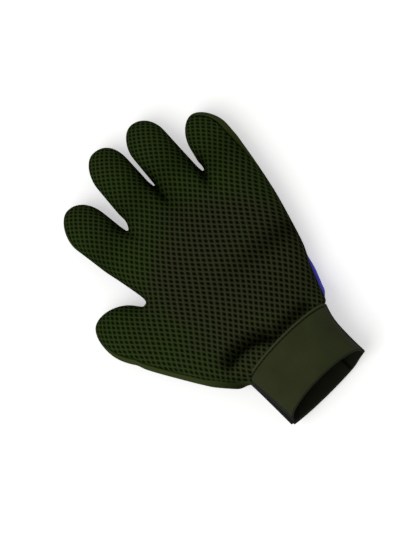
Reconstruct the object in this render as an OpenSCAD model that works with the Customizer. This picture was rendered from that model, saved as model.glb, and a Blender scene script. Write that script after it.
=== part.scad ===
// Grooming glove for the right hand, lying palm down on the tips of its rubber nubs.
// A spacer-mesh back and a plain fabric palm are sewn together along a side seam.
// Moulded silicone pads with nubs cover the palm side, and an elastic band with a
// hook-and-loop tab closes the wrist. +Y points to the fingertips, +X to the little finger.

/* [Hand] */
// Distance from the origin back to the wrist edge of the mesh
wrist_y = 80; // [74:1:90]
// Distance from the origin back to the widest line of the heel
heel_y = 62; // [56:1:68]
// Breadth of the heel of the hand
heel_w = 94; // [86:1:100]
// Height of the hand at the heel, above the palm fabric's underside
heel_h = 32.5; // [30:0.5:38]
// Distance from the origin forward to the knuckle line
knuckle_y = 20; // [16:1:24]
// Height of the hand at the knuckles, above the palm fabric's underside
knuckle_h = 32; // [29:1:36]
// Height of the side seam above the palm fabric's underside
seam_h = 9; // [7:0.5:11]

/* [Wrist fold] */
// Distance from the hand's middle to the fold's arch, to the thumb's side
fold_x = 23; // [20:0.5:26]
// Distance of the arch's centre in front of the wrist edge
fold_front = 3; // [1:0.5:5]
// Radius of the arch
fold_r = 18; // [16:0.5:20]
// Depth of the fold in the mesh
fold_depth = 8; // [5:0.5:9]
// Half of the fold's width
fold_half = 4.5; // [3:0.25:5]

/* [Fingers] */
// Sideways place of the middle finger's root
middle_x = -2; // [-6:1:2]
// Clear gap between the index and middle fingers at their roots
index_middle_gap = 4.6; // [2:0.2:7]
// Clear gap between the middle and ring fingers at their roots
middle_ring_gap = 1.8; // [1.4:0.2:4]
// Clear gap between the ring and little fingers at their roots
ring_little_gap = 1.6; // [1.4:0.2:4]
// Height of a finger at its root, above the palm fabric's underside
finger_h = 26; // [22:0.5:28]
// Height of a finger where its round tip starts
fingertip_h = 22; // [18:0.5:24]
// Distance from a finger's bending line to the end of its bending zone, each way
bend_half = 7; // [6.5:0.25:8]

/* [Index finger] */
// Distance forward from the origin to the index finger's bending line
index_y = 60; // [56:1:64]
// Length of the index finger from its bending line
index_len = 35; // [31:1:40]
// Width of the index finger at its root
index_w = 30.8; // [28:0.4:33]
// Turn of the index finger to the little-finger side
index_turn = -7.5; // [-10:0.5:-5]

/* [Middle finger] */
// Distance forward from the origin to the middle finger's bending line
middle_y = 69; // [65:1:73]
// Length of the middle finger from its bending line
middle_len = 42; // [37:1:48]
// Width of the middle finger at its root
middle_w = 30; // [27:0.4:32]
// Turn of the middle finger to the little-finger side
middle_turn = 1.5; // [0:0.5:2]

/* [Ring finger] */
// Distance forward from the origin to the ring finger's bending line
ring_y = 69; // [65:1:73]
// Length of the ring finger from its bending line
ring_len = 38; // [34:0.5:44]
// Width of the ring finger at its root
ring_w = 29; // [26:0.4:31]
// Turn of the ring finger to the little-finger side
ring_turn = 2.5; // [2:0.5:4]

/* [Little finger] */
// Distance forward from the origin to the little finger's bending line
little_y = 51; // [47:1:55]
// Length of the little finger from its bending line
little_len = 31; // [29:0.5:37]
// Width of the little finger at its root
little_w = 30.6; // [27:0.4:32]
// Turn of the little finger to the little-finger side
little_turn = 9.5; // [7:0.5:13]

/* [Thumb] */
// Sideways distance from the origin to the thumb's bending line
thumb_x = 67.5; // [64:0.5:71]
// Distance forward from the origin to the thumb's bending line
thumb_y = 1; // [-2:1:4]
// Length of the thumb from its bending line
thumb_len = 26; // [25:0.5:32]
// Width of the thumb at its root
thumb_w = 37; // [33:0.5:40]
// Turn of the thumb away from the fingers
thumb_turn = 31; // [27:1:35]

/* [Fabric] */
// Thickness of the spacer mesh
mesh_t = 2.5; // [2:0.1:3.2]
// Thickness of the palm fabric
fabric_t = 1.2; // [0.8:0.1:1.6]

/* [Silicone] */
// Thickness of the silicone sheet
pad_t = 1.5; // [1:0.1:2]
// Width of bare fabric between a finger's pad and its side
pad_margin = 4; // [3.5:0.25:5]
// Radius of the palm pad's corners
pad_corner = 8; // [6:0.5:10]
// Width of bare fabric beside the palm pad at the heel
heel_pad_inset = 11; // [9:0.5:14]
// Length of silicone that runs past the heel on the little finger's side
heel_wrap = 6; // [3:0.5:8]
// Length of the lip that turns the palm pad up round the heel on the little finger's side
lip_len = 24; // [18:1:26]
// Height of that lip above the pad's underside
lip_h = 9.5; // [8:0.5:11]
// Width of plain silicone outside the last nubs
nub_rim = 2; // [1.5:0.25:3]
// Height of a nub
nub_h = 5; // [4:0.25:6]
// Radius of a nub at its foot
nub_foot_r = 2; // [1.6:0.1:2.2]
// Radius of a nub at its flat tip
nub_tip_r = 1.1; // [0.8:0.1:1.4]
// Distance between nubs in a row on the palm
nub_pitch = 7.6; // [7:0.2:9]
// Distance between rows of nubs on the palm
nub_row = 6.8; // [6:0.2:8]
// Distance between nubs in a row on a finger
finger_nub_pitch = 6.6; // [6:0.2:7]
// Distance between rows of nubs on a finger
finger_nub_row = 5.6; // [5:0.2:6.4]

/* [Ball of the thumb] */
// Radius of the round ends of the pad under the ball of the thumb
ball_r = 10; // [9:0.5:11]
// Length of that pad between its round ends
ball_len = 19; // [14:1:22]
// Shift of that pad away from the palm
ball_shift = 4; // [3:0.5:6]

/* [Wrist band] */
// Length of the elastic band along the arm
band_w = 40; // [36:1:44]
// Thickness of the elastic
band_t = 2; // [1.6:0.1:2.4]
// Width of the wrist opening inside the band
wrist_w = 70; // [66:1:74]
// Height of the wrist opening inside the band
wrist_h = 34; // [32:1:38]
// Height of the wrist opening's centre above the resting plane
wrist_z = 27.5; // [27:0.5:30]
// Length of the mesh that is sewn inside the band
band_lap = 6; // [4:1:8]

/* [Closure] */
// Direction of the tab's root round the wrist, from the little-finger side
tab_root_angle = -34; // [-40:1:-28]
// Direction of the tab's free end round the wrist
tab_end_angle = -142; // [-150:1:-134]
// Direction of the band's free end, under the tab
band_end_angle = -58; // [-64:1:-52]
// Bare elastic past the end of a patch, as an angle round the wrist
patch_margin_angle = 8; // [5:1:10]
// Bare elastic beside a patch, along the arm
patch_margin = 3; // [2:0.5:5]
// Thickness of the loop tape
loop_t = 1; // [0.8:0.1:1.4]
// Thickness of the hook tape
hook_t = 1; // [0.8:0.1:1.4]

/* [Fit] */
// Gap between soft pieces that move apart
clear = 0.3; // [0.2:0.05:0.5]
// Gap between a tape and the elastic that it is sewn to
tape_gap = 0.1; // [0.08:0.01:0.15]

/* [Hidden] */

MESH_COLOR = "#2b2f1f";
FABRIC_COLOR = "#26291d";
SILICONE_COLOR = "#2a2fc4";
ELASTIC_COLOR = "#31362a";
TAPE_COLOR = "#1b1d18";

// Heights above the resting plane
fabric_z = nub_h + pad_t;
seam_z = fabric_z + seam_h;

// Shape of a sleeve: an oval back over a flat palm with rounded corners
BACK_POWER = 2.6;
PALM_POWER = 4;
SECTION_STEPS = 16;
PLATE_T = 0.02;
FAR = 400;

// Fingers as [root x, root y, turn, length, root width, root height above the fabric]
ring_x = middle_x + (middle_w + ring_w) / 2 + middle_ring_gap;
little_x = ring_x + (ring_w + little_w) / 2 + ring_little_gap;
index_x = middle_x - (middle_w + index_w) / 2 - index_middle_gap;
THUMB = [-thumb_x, thumb_y, -thumb_turn, thumb_len, thumb_w, finger_h];
INDEX = [index_x, index_y, index_turn, index_len, index_w, finger_h];
MIDDLE = [middle_x, middle_y, middle_turn, middle_len, middle_w, finger_h];
RING = [ring_x, ring_y, ring_turn, ring_len, ring_w, finger_h];
LITTLE = [little_x, little_y, little_turn, little_len, little_w, finger_h];
FINGERS = [INDEX, MIDDLE, RING, LITTLE];

// Shares and allowances that follow from the shape
tip_taper = 0.9;
web_spread = 16;
little_web_spread = 8;
web_len = 17;
web_rise = 1.5;
web_half = 13;
web_tip_half = 4.5;
web_tip_drop = 11;
web_room = 4;
thumb_root_w = 8;
thumb_swell = 6;
little_swell = 1;
index_draw = 2;
pad_gap = 1.5;
first_nub = bend_half + 5.5;

// Directions of the fold's ends about the centre of its arch, and how much it narrows there
FOLD_FROM = 20;
FOLD_TO = 160;
FOLD_STEPS = 7;
FOLD_END_SHARE = 0.3;

// Point at a distance along a finger and to its side, on the resting plane
function along(f, s, side = 0) = [
  f[0] + s * sin(f[2]) + side * cos(f[2]),
  f[1] + s * cos(f[2]) - side * sin(f[2])
];

// Half of a sleeve's section, from the left seam to the right one, about the seam line
function half_section(w, h, side, power) = [
  for (i = [0:SECTION_STEPS])
    let (a = 180 - 180 * i / SECTION_STEPS)
      [w / 2 * sign(cos(a)) * pow(abs(cos(a)), 2 / power), side * h * pow(abs(sin(a)), 2 / power)]
];

// The same list from its end to its start
function reversed(list) = [for (i = [len(list) - 1:-1:0]) list[i]];

// Whole section of a sleeve: the back over the palm side, without repeated seam points
function section(w, back_h, palm_h) =
  let (palm = reversed(half_section(w, palm_h, -1, PALM_POWER)))
    concat(half_section(w, back_h, 1, BACK_POWER), [for (i = [1:SECTION_STEPS - 1]) palm[i]]);

// Stations of a finger from the end of its bending zone to its tip, as
// [distance, share of the taper, share of the round]
TIP_STEPS = 6;
function stations(len, round_r) = concat(
  [for (i = [0:2]) [bend_half + (len - round_r - bend_half) * i / 3, i / 3, 1]],
  [
    for (i = [0:TIP_STEPS - 1])
      let (a = 90 * i / TIP_STEPS)
        [len - round_r + round_r * sin(a), 1, cos(a)]
  ]
);

// Rows of points of one skin of a finger, from root to tip, on one side of the seam
function skin_rows(len, root_w, root_h, tip_w, tip_h, side, power) = [
  for (st = stations(len, tip_w / 2))
    let (
      w = (root_w + (tip_w - root_w) * st[1]) * st[2],
      h = (root_h + (tip_h - root_h) * st[1]) * st[2]
    )
      [for (p = half_section(w, h, side, power)) [p[0], st[0], p[1]]]
];

// Closed solid between an outer and an inner skin that share the seam plane
module sewn_half(outer, inner, outer_tip, inner_tip, side) {
  rows = len(outer);
  cols = len(outer[0]);
  flat = concat([for (r = outer) each r], [for (r = inner) each r], [outer_tip, inner_tip]);
  inner_start = rows * cols;
  tip_o = 2 * rows * cols;
  tip_i = tip_o + 1;
  function o(r, c) = r * cols + c;
  function i(r, c) = inner_start + r * cols + c;
  quads = concat(
    [for (r = [0:rows - 2], c = [0:cols - 2]) [o(r, c), o(r + 1, c), o(r + 1, c + 1), o(r, c + 1)]],
    [for (r = [0:rows - 2], c = [0:cols - 2]) [i(r, c), i(r, c + 1), i(r + 1, c + 1), i(r + 1, c)]],
    [for (c = [0:cols - 2]) [o(0, c), o(0, c + 1), i(0, c + 1), i(0, c)]],
    [for (r = [0:rows - 2]) [o(r, 0), i(r, 0), i(r + 1, 0), o(r + 1, 0)]],
    [for (r = [0:rows - 2]) [o(r, cols - 1), o(r + 1, cols - 1), i(r + 1, cols - 1), i(r, cols - 1)]],
    [[o(rows - 1, 0), i(rows - 1, 0), tip_i, tip_o]],
    [[o(rows - 1, cols - 1), tip_o, tip_i, i(rows - 1, cols - 1)]]
  );
  tips = concat(
    [for (c = [0:cols - 2]) [o(rows - 1, c), tip_o, o(rows - 1, c + 1)]],
    [for (c = [0:cols - 2]) [i(rows - 1, c), i(rows - 1, c + 1), tip_i]]
  );
  triangles = concat([for (q = quads) each [[q[0], q[1], q[2]], [q[0], q[2], q[3]]]], tips);
  polyhedron(flat, side > 0 ? triangles : [for (t = triangles) [t[2], t[1], t[0]]]);
}

// One half of a finger's sleeve beyond its bending zone, closed at the tip
module finger_half(f, wall, side) {
  power = side > 0 ? BACK_POWER : PALM_POWER;
  root_h = side > 0 ? f[5] - seam_h : seam_h;
  tip_h = side > 0 ? fingertip_h - seam_h : seam_h;
  tip_w = f[4] * tip_taper;
  outer = skin_rows(f[3], f[4], root_h, tip_w, tip_h, side, power);
  inner = skin_rows(
    f[3] - wall, f[4] - 2 * wall, root_h - wall, tip_w - 2 * wall, tip_h - wall, side, power
  );
  place(f) sewn_half(outer, inner, [0, f[3], 0], [0, f[3] - wall, 0], side);
}

// Back of a finger in spacer mesh
module finger_back(f) {
  color(MESH_COLOR) finger_half(f, mesh_t, 1);
}

// Palm side of a finger in plain fabric
module finger_palm_fabric(f) {
  color(FABRIC_COLOR) finger_half(f, fabric_t, -1);
}

// Moves children to a finger's bending line, with +Y along the finger
module place(f) {
  translate([f[0], f[1], seam_z]) rotate([0, 0, -f[2]]) children();
}

// Thin plate across a finger, at a distance along it, that hulls grow from
module finger_plate(f, s, inset, left = 0, right = 0, drop = 0) {
  place(f) translate([(right - left) / 2, s, 0]) rotate([90, 0, 0]) linear_extrude(PLATE_T)
    polygon(section(f[4] + left + right - 2 * inset, f[5] - drop - seam_h - inset, seam_h - inset));
}

// Thin plate across the hand between two sides, at a distance forward
module hand_plate(left, right, y, h, inset) {
  translate([(left + right) / 2, y, seam_z]) rotate([90, 0, 0]) linear_extrude(PLATE_T)
    polygon(section(right - left - 2 * inset, h - seam_h - inset, seam_h - inset));
}

// Oval of the wrist, grown outwards by an offset, between two directions
function wrist_arc(offset, from, to) = [
  for (i = [0:2 * SECTION_STEPS])
    let (a = from + (to - from) * i / (2 * SECTION_STEPS))
      [(wrist_w / 2 + offset) * cos(a), wrist_z + (wrist_h / 2 + offset) * sin(a)]
];

// Thin plate across the wrist, at a distance behind the band's edge
module wrist_plate(back, inset) {
  translate([0, -wrist_y - back, 0]) rotate([90, 0, 0]) linear_extrude(PLATE_T)
    polygon(wrist_arc(-clear - inset, 0, 360));
}

// Growth of each finger's base to its thumb side and its other side, inside the hand
SPREADS = [
  [-web_rise, web_spread],
  [web_spread, web_spread],
  [web_spread, little_web_spread],
  [little_web_spread, -web_rise]
];

// Sides of the hand at the knuckle line
little_side = along(LITTLE, knuckle_y - little_y, little_w / 2)[0];
index_side = along(INDEX, knuckle_y - index_y, -index_w / 2)[0];

// Height of the back over the line from the wrist's top to the knuckles, falling off to the sides
function crown(p) =
  let (
    t = (p[1] + wrist_y) / (knuckle_y + wrist_y),
    top = (1 - t) * (wrist_z + wrist_h / 2) + t * (fabric_z + knuckle_h),
    side = min(1, abs(p[0]) / (heel_w / 2 + thumb_swell))
  )
    seam_z + (top - seam_z) * pow(1 - pow(side, BACK_POWER), 1 / BACK_POWER);

// Swelling of the fold at one step of its arch, narrow at both ends
module fold_swell(i, inset) {
  a = FOLD_FROM + (FOLD_TO - FOLD_FROM) * i / FOLD_STEPS;
  share = FOLD_END_SHARE + (1 - FOLD_END_SHARE) * sin(180 * i / FOLD_STEPS);
  p = [fold_r * cos(a) - fold_x, fold_r * sin(a) + fold_front - wrist_y];
  half = share * fold_half + inset;
  translate([p[0], p[1], crown(p)]) scale([half, half, share * fold_depth + inset]) sphere(1, $fn = 16);
}

// Arched fold that the band draws into the mesh at the base of the thumb
module wrist_fold(inset) {
  for (i = [0:FOLD_STEPS - 1])
    hull() {
      fold_swell(i, inset);
      fold_swell(i + 1, inset);
    }
}

// Whole form of the hand from the wrist to the fingers' bending zones, with the wrist's fold
module hand_form(inset) {
  difference() {
    hand_body(inset);
    wrist_fold(inset);
  }
}

// Body of the hand before it is folded
module hand_body(inset) {
  root = -bend_half - clear;
  hull() {
    wrist_plate(band_lap, inset);
    wrist_plate(-1, inset);
  }
  hull() {
    wrist_plate(-clear, inset);
    hand_plate(-heel_w / 2 - thumb_swell, heel_w / 2 + little_swell, -heel_y, heel_h, inset);
    hand_plate(index_side, little_side, knuckle_y, knuckle_h, inset);
    hand_plate(
      index_side + index_draw, little_side - little_swell, knuckle_y + web_len, finger_h + web_rise, inset
    );
  }
  hull() {
    wrist_plate(-thumb_swell / 2, inset);
    hand_plate(
      -heel_w / 2 - 1.5 * thumb_swell, -thumb_root_w, thumb_swell - heel_y, heel_h - web_rise, inset
    );
    hand_plate(
      index_side - thumb_root_w, -thumb_root_w, thumb_y - thumb_swell, knuckle_h - web_rise, inset
    );
    finger_plate(THUMB, root, inset);
  }
  for (i = [0:2]) web(FINGERS[i], FINGERS[i + 1], root, inset);
  for (i = [0:3])
    let (f = FINGERS[i])
      hull() {
        finger_plate(
          f, knuckle_y - web_len - f[1], inset, SPREADS[i][0], SPREADS[i][1], web_rise * (1 + i % 2)
        );
        finger_plate(f, root, inset);
      }
}

// Saddle of fabric between the roots of two neighbouring fingers
module web(f, g, root, inset) {
  a = along(f, root, f[4] / 2);
  b = along(g, root, -g[4] / 2);
  x = (a[0] + b[0]) / 2;
  hull() {
    hand_plate(x - web_half, x + web_half, knuckle_y + web_len - web_room, finger_h, inset);
    hand_plate(
      x - web_tip_half, x + web_tip_half, min(a[1], b[1]) - web_room, finger_h - web_tip_drop, inset
    );
  }
}

// Everything on one side of the seam plane
module seam_side(side) {
  translate([-FAR / 2, -FAR / 2, side > 0 ? seam_z : seam_z - FAR]) cube(FAR);
}

// Back of the hand in spacer mesh
module back_mesh() {
  color(MESH_COLOR)
    intersection() {
      difference() {
        hand_form(0);
        hand_hollow(mesh_t);
      }
      seam_side(1);
    }
}

// The hollow inside a wall, run out through the wrist and the fingers' roots
module hand_hollow(inset) {
  hand_form(inset);
  hull() {
    wrist_plate(band_lap + 1, inset);
    wrist_plate(band_lap - 1, inset);
  }
  for (f = concat(FINGERS, [THUMB])) finger_hollow(f, inset);
}

// Short hollow that opens the wall at a finger's root
module finger_hollow(f, inset) {
  hull() {
    finger_plate(f, -bend_half - clear - 1, inset);
    finger_plate(f, -bend_half - clear + 1, inset);
  }
}

// Palm side of the hand in plain fabric
module palm_fabric() {
  color(FABRIC_COLOR)
    intersection() {
      difference() {
        hand_form(0);
        hand_hollow(fabric_t);
      }
      seam_side(-1);
    }
}

// Bending zone of a finger: a tube of mesh and fabric that folds at the knuckle
module knuckle(f) {
  color(MESH_COLOR)
    place(f) translate([0, bend_half - clear, 0]) rotate([90, 0, 0])
      linear_extrude(2 * bend_half - clear)
        difference() {
          polygon(section(f[4], f[5] - seam_h, seam_h));
          polygon(section(f[4] - 2 * mesh_t, f[5] - seam_h - mesh_t, seam_h - fabric_t));
        }
}

// Nub that tapers from the pad down to the resting plane
module nub() {
  translate([0, 0, nub_h]) mirror([0, 0, 1])
    cylinder(h = nub_h, r1 = nub_foot_r, r2 = nub_tip_r, $fn = 24);
}

// Silicone pad under a finger, with a staggered field of nubs
module finger_pad(f) {
  tip_r = f[4] * tip_taper / 2 - pad_margin;
  root_r = f[4] / 2 - pad_margin;
  start = bend_half + pad_gap;
  end = f[3] - pad_margin - tip_r;
  rows = floor((f[3] - pad_margin - nub_foot_r - first_nub) / finger_nub_row);
  color(SILICONE_COLOR)
    translate([f[0], f[1], 0]) rotate([0, 0, -f[2]]) {
      translate([0, 0, nub_h]) linear_extrude(pad_t)
        intersection() {
          hull() {
            translate([-root_r, start]) square([2 * root_r, PLATE_T]);
            translate([0, end]) circle(tip_r, $fn = 32);
          }
          translate([-root_r, start]) square([2 * root_r, f[3]]);
        }
      for (r = [0:rows])
        let (odd = r % 2, y = first_nub + r * finger_nub_row)
          for (c = odd ? [-0.5, 0.5] : [-1, 0, 1])
            if (norm([c * finger_nub_pitch, max(0, y - end)]) < tip_r - nub_foot_r)
              translate([c * finger_nub_pitch, y, 0]) nub();
    }
}

// Corners of the palm pad's main field, counter-clockwise from the heel on the thumb's side
lobe_base = bend_half - knuckle_y - web_len;
PALM_FIELD = [
  [pad_corner - heel_w / 2 + heel_pad_inset, -heel_y],
  [heel_w / 2 - pad_corner + little_swell, -heel_y - pad_corner / 4],
  [heel_w / 2 - pad_corner + heel_wrap, -heel_y + 2 * pad_corner],
  along(LITTLE, lobe_base, LITTLE[4] / 2 - pad_margin - pad_corner),
  along(INDEX, lobe_base, pad_margin + pad_corner - INDEX[4] / 2)
];

// Round end of the lobe that runs out to a finger, as [centre, radius]
function lobe_end(f) =
  let (r = f[4] / 2 - pad_margin) [along(f, -bend_half - pad_gap - r), r];

// Signed distance of a point outside the straight edge between two corners
function beyond(p, a, b) =
  let (d = (b - a) / norm(b - a)) (p[0] - a[0]) * d[1] - (p[1] - a[1]) * d[0];

// Whether a point lies in the main field, with room to its edge
function in_field(p, room) =
  let (n = len(PALM_FIELD))
    max([for (i = [0:n - 1]) beyond(p, PALM_FIELD[i], PALM_FIELD[(i + 1) % n])]) < room;

// Distance of a point from the straight line between two others
function from_segment(p, a, b) =
  let (d = b - a, t = max(0, min(1, (p - a) * d / (d * d)))) norm(p - a - t * d);

// Whether a point lies in a finger's lobe, with room to its edge
function in_lobe(p, f, room) =
  let (end = lobe_end(f)) from_segment(p, along(f, lobe_base), end[0]) < end[1] + room;

// Whether a point lies on the palm pad, with room to its edge
function on_palm_pad(p, room) =
  in_field(p, pad_corner + room) || max([for (f = FINGERS) in_lobe(p, f, room) ? 1 : 0]) > 0;

// Lip that turns up from the palm pad's edge beside the heel, just outside the fabric
module heel_lip() {
  heel = [heel_w / 2 + little_swell, -heel_y];
  side = [little_side, knuckle_y] - heel;
  out = [clear + pad_t / 2, 0];
  hull()
    for (st = [[-pad_t, lip_h], [lip_len / 2, lip_h], [lip_len, lip_h / 3]])
      translate(heel + out + st[0] * side / norm(side)) translate([0, 0, nub_h])
        cylinder(h = st[1], r = pad_t / 2, $fn = 16);
}

// Silicone pad of the palm, a field with a lobe to each finger and staggered nubs
module palm_pad() {
  cols = 10;
  rows = 11;
  color(SILICONE_COLOR) {
    translate([0, 0, nub_h]) linear_extrude(pad_t) {
      hull() for (p = PALM_FIELD) translate(p) circle(pad_corner, $fn = 32);
      for (f = FINGERS)
        let (end = lobe_end(f))
          hull() {
            translate(along(f, lobe_base)) circle(end[1], $fn = 32);
            translate(end[0]) circle(end[1], $fn = 32);
          }
    }
    for (r = [-rows:rows], c = [-cols:cols])
      let (p = [(c + (r % 2 == 0 ? 0 : 0.5)) * nub_pitch, r * nub_row])
        if (on_palm_pad(p, -nub_foot_r - nub_rim)) translate(p) nub();
    heel_lip();
  }
}

// Silicone pad under the ball of the thumb
module thumb_base_pad() {
  front = -bend_half - pad_gap - ball_r;
  rows = floor((ball_len - nub_foot_r) / finger_nub_row);
  color(SILICONE_COLOR)
    translate([THUMB[0], THUMB[1], 0]) rotate([0, 0, -THUMB[2]]) {
      translate([0, 0, nub_h]) linear_extrude(pad_t)
        hull() {
          translate([-ball_shift, front]) circle(ball_r, $fn = 32);
          translate([-ball_shift, front - ball_len]) circle(ball_r, $fn = 32);
        }
      for (r = [0:rows])
        let (odd = r % 2)
          for (c = odd ? [-0.5, 0.5] : [-1, 0, 1])
            translate([c * finger_nub_pitch - ball_shift, front - r * finger_nub_row, 0]) nub();
    }
}

// Strip of the wrist's oval between two offsets, extruded along the arm
module wrist_strip(inner, outer, from, to, width, margin) {
  translate([0, -wrist_y - margin, 0]) rotate([90, 0, 0]) linear_extrude(width)
    polygon(concat(wrist_arc(outer, from, to), reversed(wrist_arc(inner, from, to))));
}

// Directions that the tab's root takes up, and the end of the band beside it
tab_root_r = band_t / 2;
root_angle_step = (tab_root_r + clear) / (wrist_h / 2) * 57;

// Elastic band round the wrist, from the tab's root over the back to its free end under the tab
module wrist_band() {
  color(ELASTIC_COLOR)
    wrist_strip(0, band_t, tab_root_angle + root_angle_step, 360 + band_end_angle, band_w, 0);
}

// Loop tape on the outside of the band's free end
module loop_patch() {
  lift = band_t + tape_gap;
  color(TAPE_COLOR)
    wrist_strip(
      lift, lift + loop_t, tab_end_angle + patch_margin_angle, band_end_angle - patch_margin_angle,
      band_w - 2 * patch_margin, patch_margin
    );
}

// Hook tape on the inside of the tab
module hook_patch() {
  lift = band_t + tape_gap + loop_t + clear;
  color(TAPE_COLOR)
    wrist_strip(
      lift, lift + hook_t, tab_end_angle + patch_margin_angle, band_end_angle - patch_margin_angle,
      band_w - 2 * patch_margin, patch_margin
    );
}

// Free end of the elastic: it starts at a round root and climbs over the tapes
tab_lift = band_t + loop_t + hook_t + clear + 2 * tape_gap;
tab_climb_angle = band_end_angle - patch_margin_angle / 2;
// Rise of the tab off the band at a direction round the wrist
function climb(a) =
  let (share = min(1, (tab_root_angle - a) / (tab_root_angle - tab_climb_angle)))
    tab_lift * share * share * (3 - 2 * share);
// Point of the tab at a direction round the wrist, at a depth into its thickness
function tab_point(a, extra) = [
  (wrist_w / 2 + climb(a) + extra) * cos(a),
  wrist_z + (wrist_h / 2 + climb(a) + extra) * sin(a)
];
TAB_STEPS = 24;
TAB_ANGLES = [
  for (i = [0:TAB_STEPS]) tab_root_angle + (tab_end_angle - tab_root_angle) * i / TAB_STEPS
];

// Tab that lies round the underside of the wrist and peels off from its root
module closure_tab() {
  color(ELASTIC_COLOR)
    translate([0, -wrist_y, 0]) rotate([90, 0, 0]) {
      translate(tab_point(tab_root_angle, band_t / 2)) cylinder(h = band_w, r = tab_root_r, $fn = 32);
      linear_extrude(band_w)
        polygon(concat(
          [for (a = TAB_ANGLES) tab_point(a, band_t)],
          reversed([for (a = TAB_ANGLES) tab_point(a, 0)])
        ));
    }
}

back_mesh();
palm_fabric();
palm_pad();
thumb_base_pad();
knuckle(THUMB);  // thumb_knuckle
knuckle(INDEX);  // index_knuckle
knuckle(MIDDLE);  // middle_knuckle
knuckle(RING);  // ring_knuckle
knuckle(LITTLE);  // little_knuckle
finger_back(THUMB);  // thumb_back
finger_back(INDEX);  // index_back
finger_back(MIDDLE);  // middle_back
finger_back(RING);  // ring_back
finger_back(LITTLE);  // little_back
finger_palm_fabric(THUMB);  // thumb_palm_fabric
finger_palm_fabric(INDEX);  // index_palm_fabric
finger_palm_fabric(MIDDLE);  // middle_palm_fabric
finger_palm_fabric(RING);  // ring_palm_fabric
finger_palm_fabric(LITTLE);  // little_palm_fabric
finger_pad(THUMB);  // thumb_pad
finger_pad(INDEX);  // index_pad
finger_pad(MIDDLE);  // middle_pad
finger_pad(RING);  // ring_pad
finger_pad(LITTLE);  // little_pad
wrist_band();
loop_patch();
hook_patch();
closure_tab();
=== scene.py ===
"""Looks of a five-finger grooming glove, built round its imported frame.

Sizes are in millimetres until a piece is made, where one factor turns them to metres.
+Y points to the fingertips, +X to the little finger, and the nub tips lie on z = 0.
"""
import logging
import math
from dataclasses import dataclass, field
from enum import Enum
from functools import partial
from typing import Any, Callable, ClassVar

import bpy
import numpy as np
from mathutils import Matrix, Vector


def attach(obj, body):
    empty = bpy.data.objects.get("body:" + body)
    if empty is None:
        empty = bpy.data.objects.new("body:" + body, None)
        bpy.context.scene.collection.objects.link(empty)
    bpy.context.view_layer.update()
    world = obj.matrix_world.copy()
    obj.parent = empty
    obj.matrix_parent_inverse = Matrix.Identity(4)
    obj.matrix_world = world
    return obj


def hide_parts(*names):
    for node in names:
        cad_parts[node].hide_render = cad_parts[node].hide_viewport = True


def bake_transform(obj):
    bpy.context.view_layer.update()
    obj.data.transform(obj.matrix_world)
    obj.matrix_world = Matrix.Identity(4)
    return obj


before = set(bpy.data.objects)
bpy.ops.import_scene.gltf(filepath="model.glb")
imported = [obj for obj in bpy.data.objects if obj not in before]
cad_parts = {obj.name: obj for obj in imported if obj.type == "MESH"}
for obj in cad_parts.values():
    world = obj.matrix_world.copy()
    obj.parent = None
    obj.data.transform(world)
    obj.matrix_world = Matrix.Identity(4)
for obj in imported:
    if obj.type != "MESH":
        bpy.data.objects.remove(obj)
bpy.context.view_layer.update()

log = logging.getLogger("glove")
MM = 0.001
TINY = 1e-6
QUARTER_TURN = 0.5 * math.pi
NEIGHBOURS = ((0, 1), (0, -1), (1, 1), (1, -1))
Array = np.ndarray
Pair = tuple[float, float]
Pairs = tuple[Pair, ...]
Triple = tuple[float, float, float]
Measure = Callable[[Array], Array]
Socket = bpy.types.NodeSocket
AddNode = Callable[..., Socket]
Inputs = dict[Any, Any] | list[Any] | tuple[Any, ...]
# A Mix node's two colour inputs, and its settings and output when it mixes colours
MIX_A, MIX_B = 6, 7
COLOURS = {"data_type": "RGBA", "out": 2}
# Settings of a Map Range node that eases in and out
EASED = {"interpolation_type": "SMOOTHSTEP"}


class Slot(Enum):
    """Material slots of the record."""

    MESH = "spacer_mesh"
    CLOTH = "palm_fabric"
    SILICONE = "silicone"
    ELASTIC = "elastic"
    LOOP = "loop_tape"
    HOOK = "hook_tape"


def smoothstep(x: Array | float, low: float, high: float) -> Array:
    """Ease from 0 at low to 1 at high by the cubic 3t^2 - 2t^3; low may be the greater one."""
    t = np.clip((np.asarray(x, float) - low) / (high - low), 0.0, 1.0)
    return t * t * (3.0 - 2.0 * t)


def bell(x: Array, width: Array | float) -> Array:
    """Bell of height 1 and the given half width: e to the power of minus (x / width) squared."""
    return np.exp(-np.square(x / width))


def unit(vectors: Array) -> Array:
    """Vectors along the last axis, made one long."""
    return vectors / np.maximum(np.linalg.norm(vectors, axis=-1, keepdims=True), TINY)


def run_along(points: Array) -> Array:
    """Length of a line of points from its first one to each."""
    return np.concatenate([[0.0], np.cumsum(np.linalg.norm(np.diff(points, axis=0), axis=1))])


def grid_over(low: Array, counts: Array, step: float) -> Array:
    """Plan points of a square grid, row by row from its lowest corner."""
    x, y = (low[k] + step * np.arange(counts[k]) for k in (0, 1))
    return np.stack(np.meshgrid(x, y), axis=-1)


def cell_mean(values: Array) -> Array:
    """Mean of the four corners of each cell of a grid."""
    return 0.25 * (values[:-1, :-1] + values[1:, :-1] + values[:-1, 1:] + values[1:, 1:])


def kept_cells(keep: Array) -> tuple[Array, Array, Array]:
    """Cut a grid of points to some of its cells.

    Args:
        keep: which cells stay.

    Returns:
        Numbers of the grid points in use, the cells' corners among these, and how many cells
        meet at each point.
    """
    rows, cols = np.array(keep.shape) + 1
    number = np.arange(rows * cols).reshape(rows, cols)
    corners = (number[:-1, :-1], number[:-1, 1:], number[1:, 1:], number[1:, :-1])
    quads = np.stack([corner[keep] for corner in corners], axis=1)
    touched = np.bincount(quads.ravel(), minlength=number.size)
    used = np.flatnonzero(touched)
    place = np.cumsum(touched > 0) - 1
    return used, place[quads], touched[used]


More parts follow.
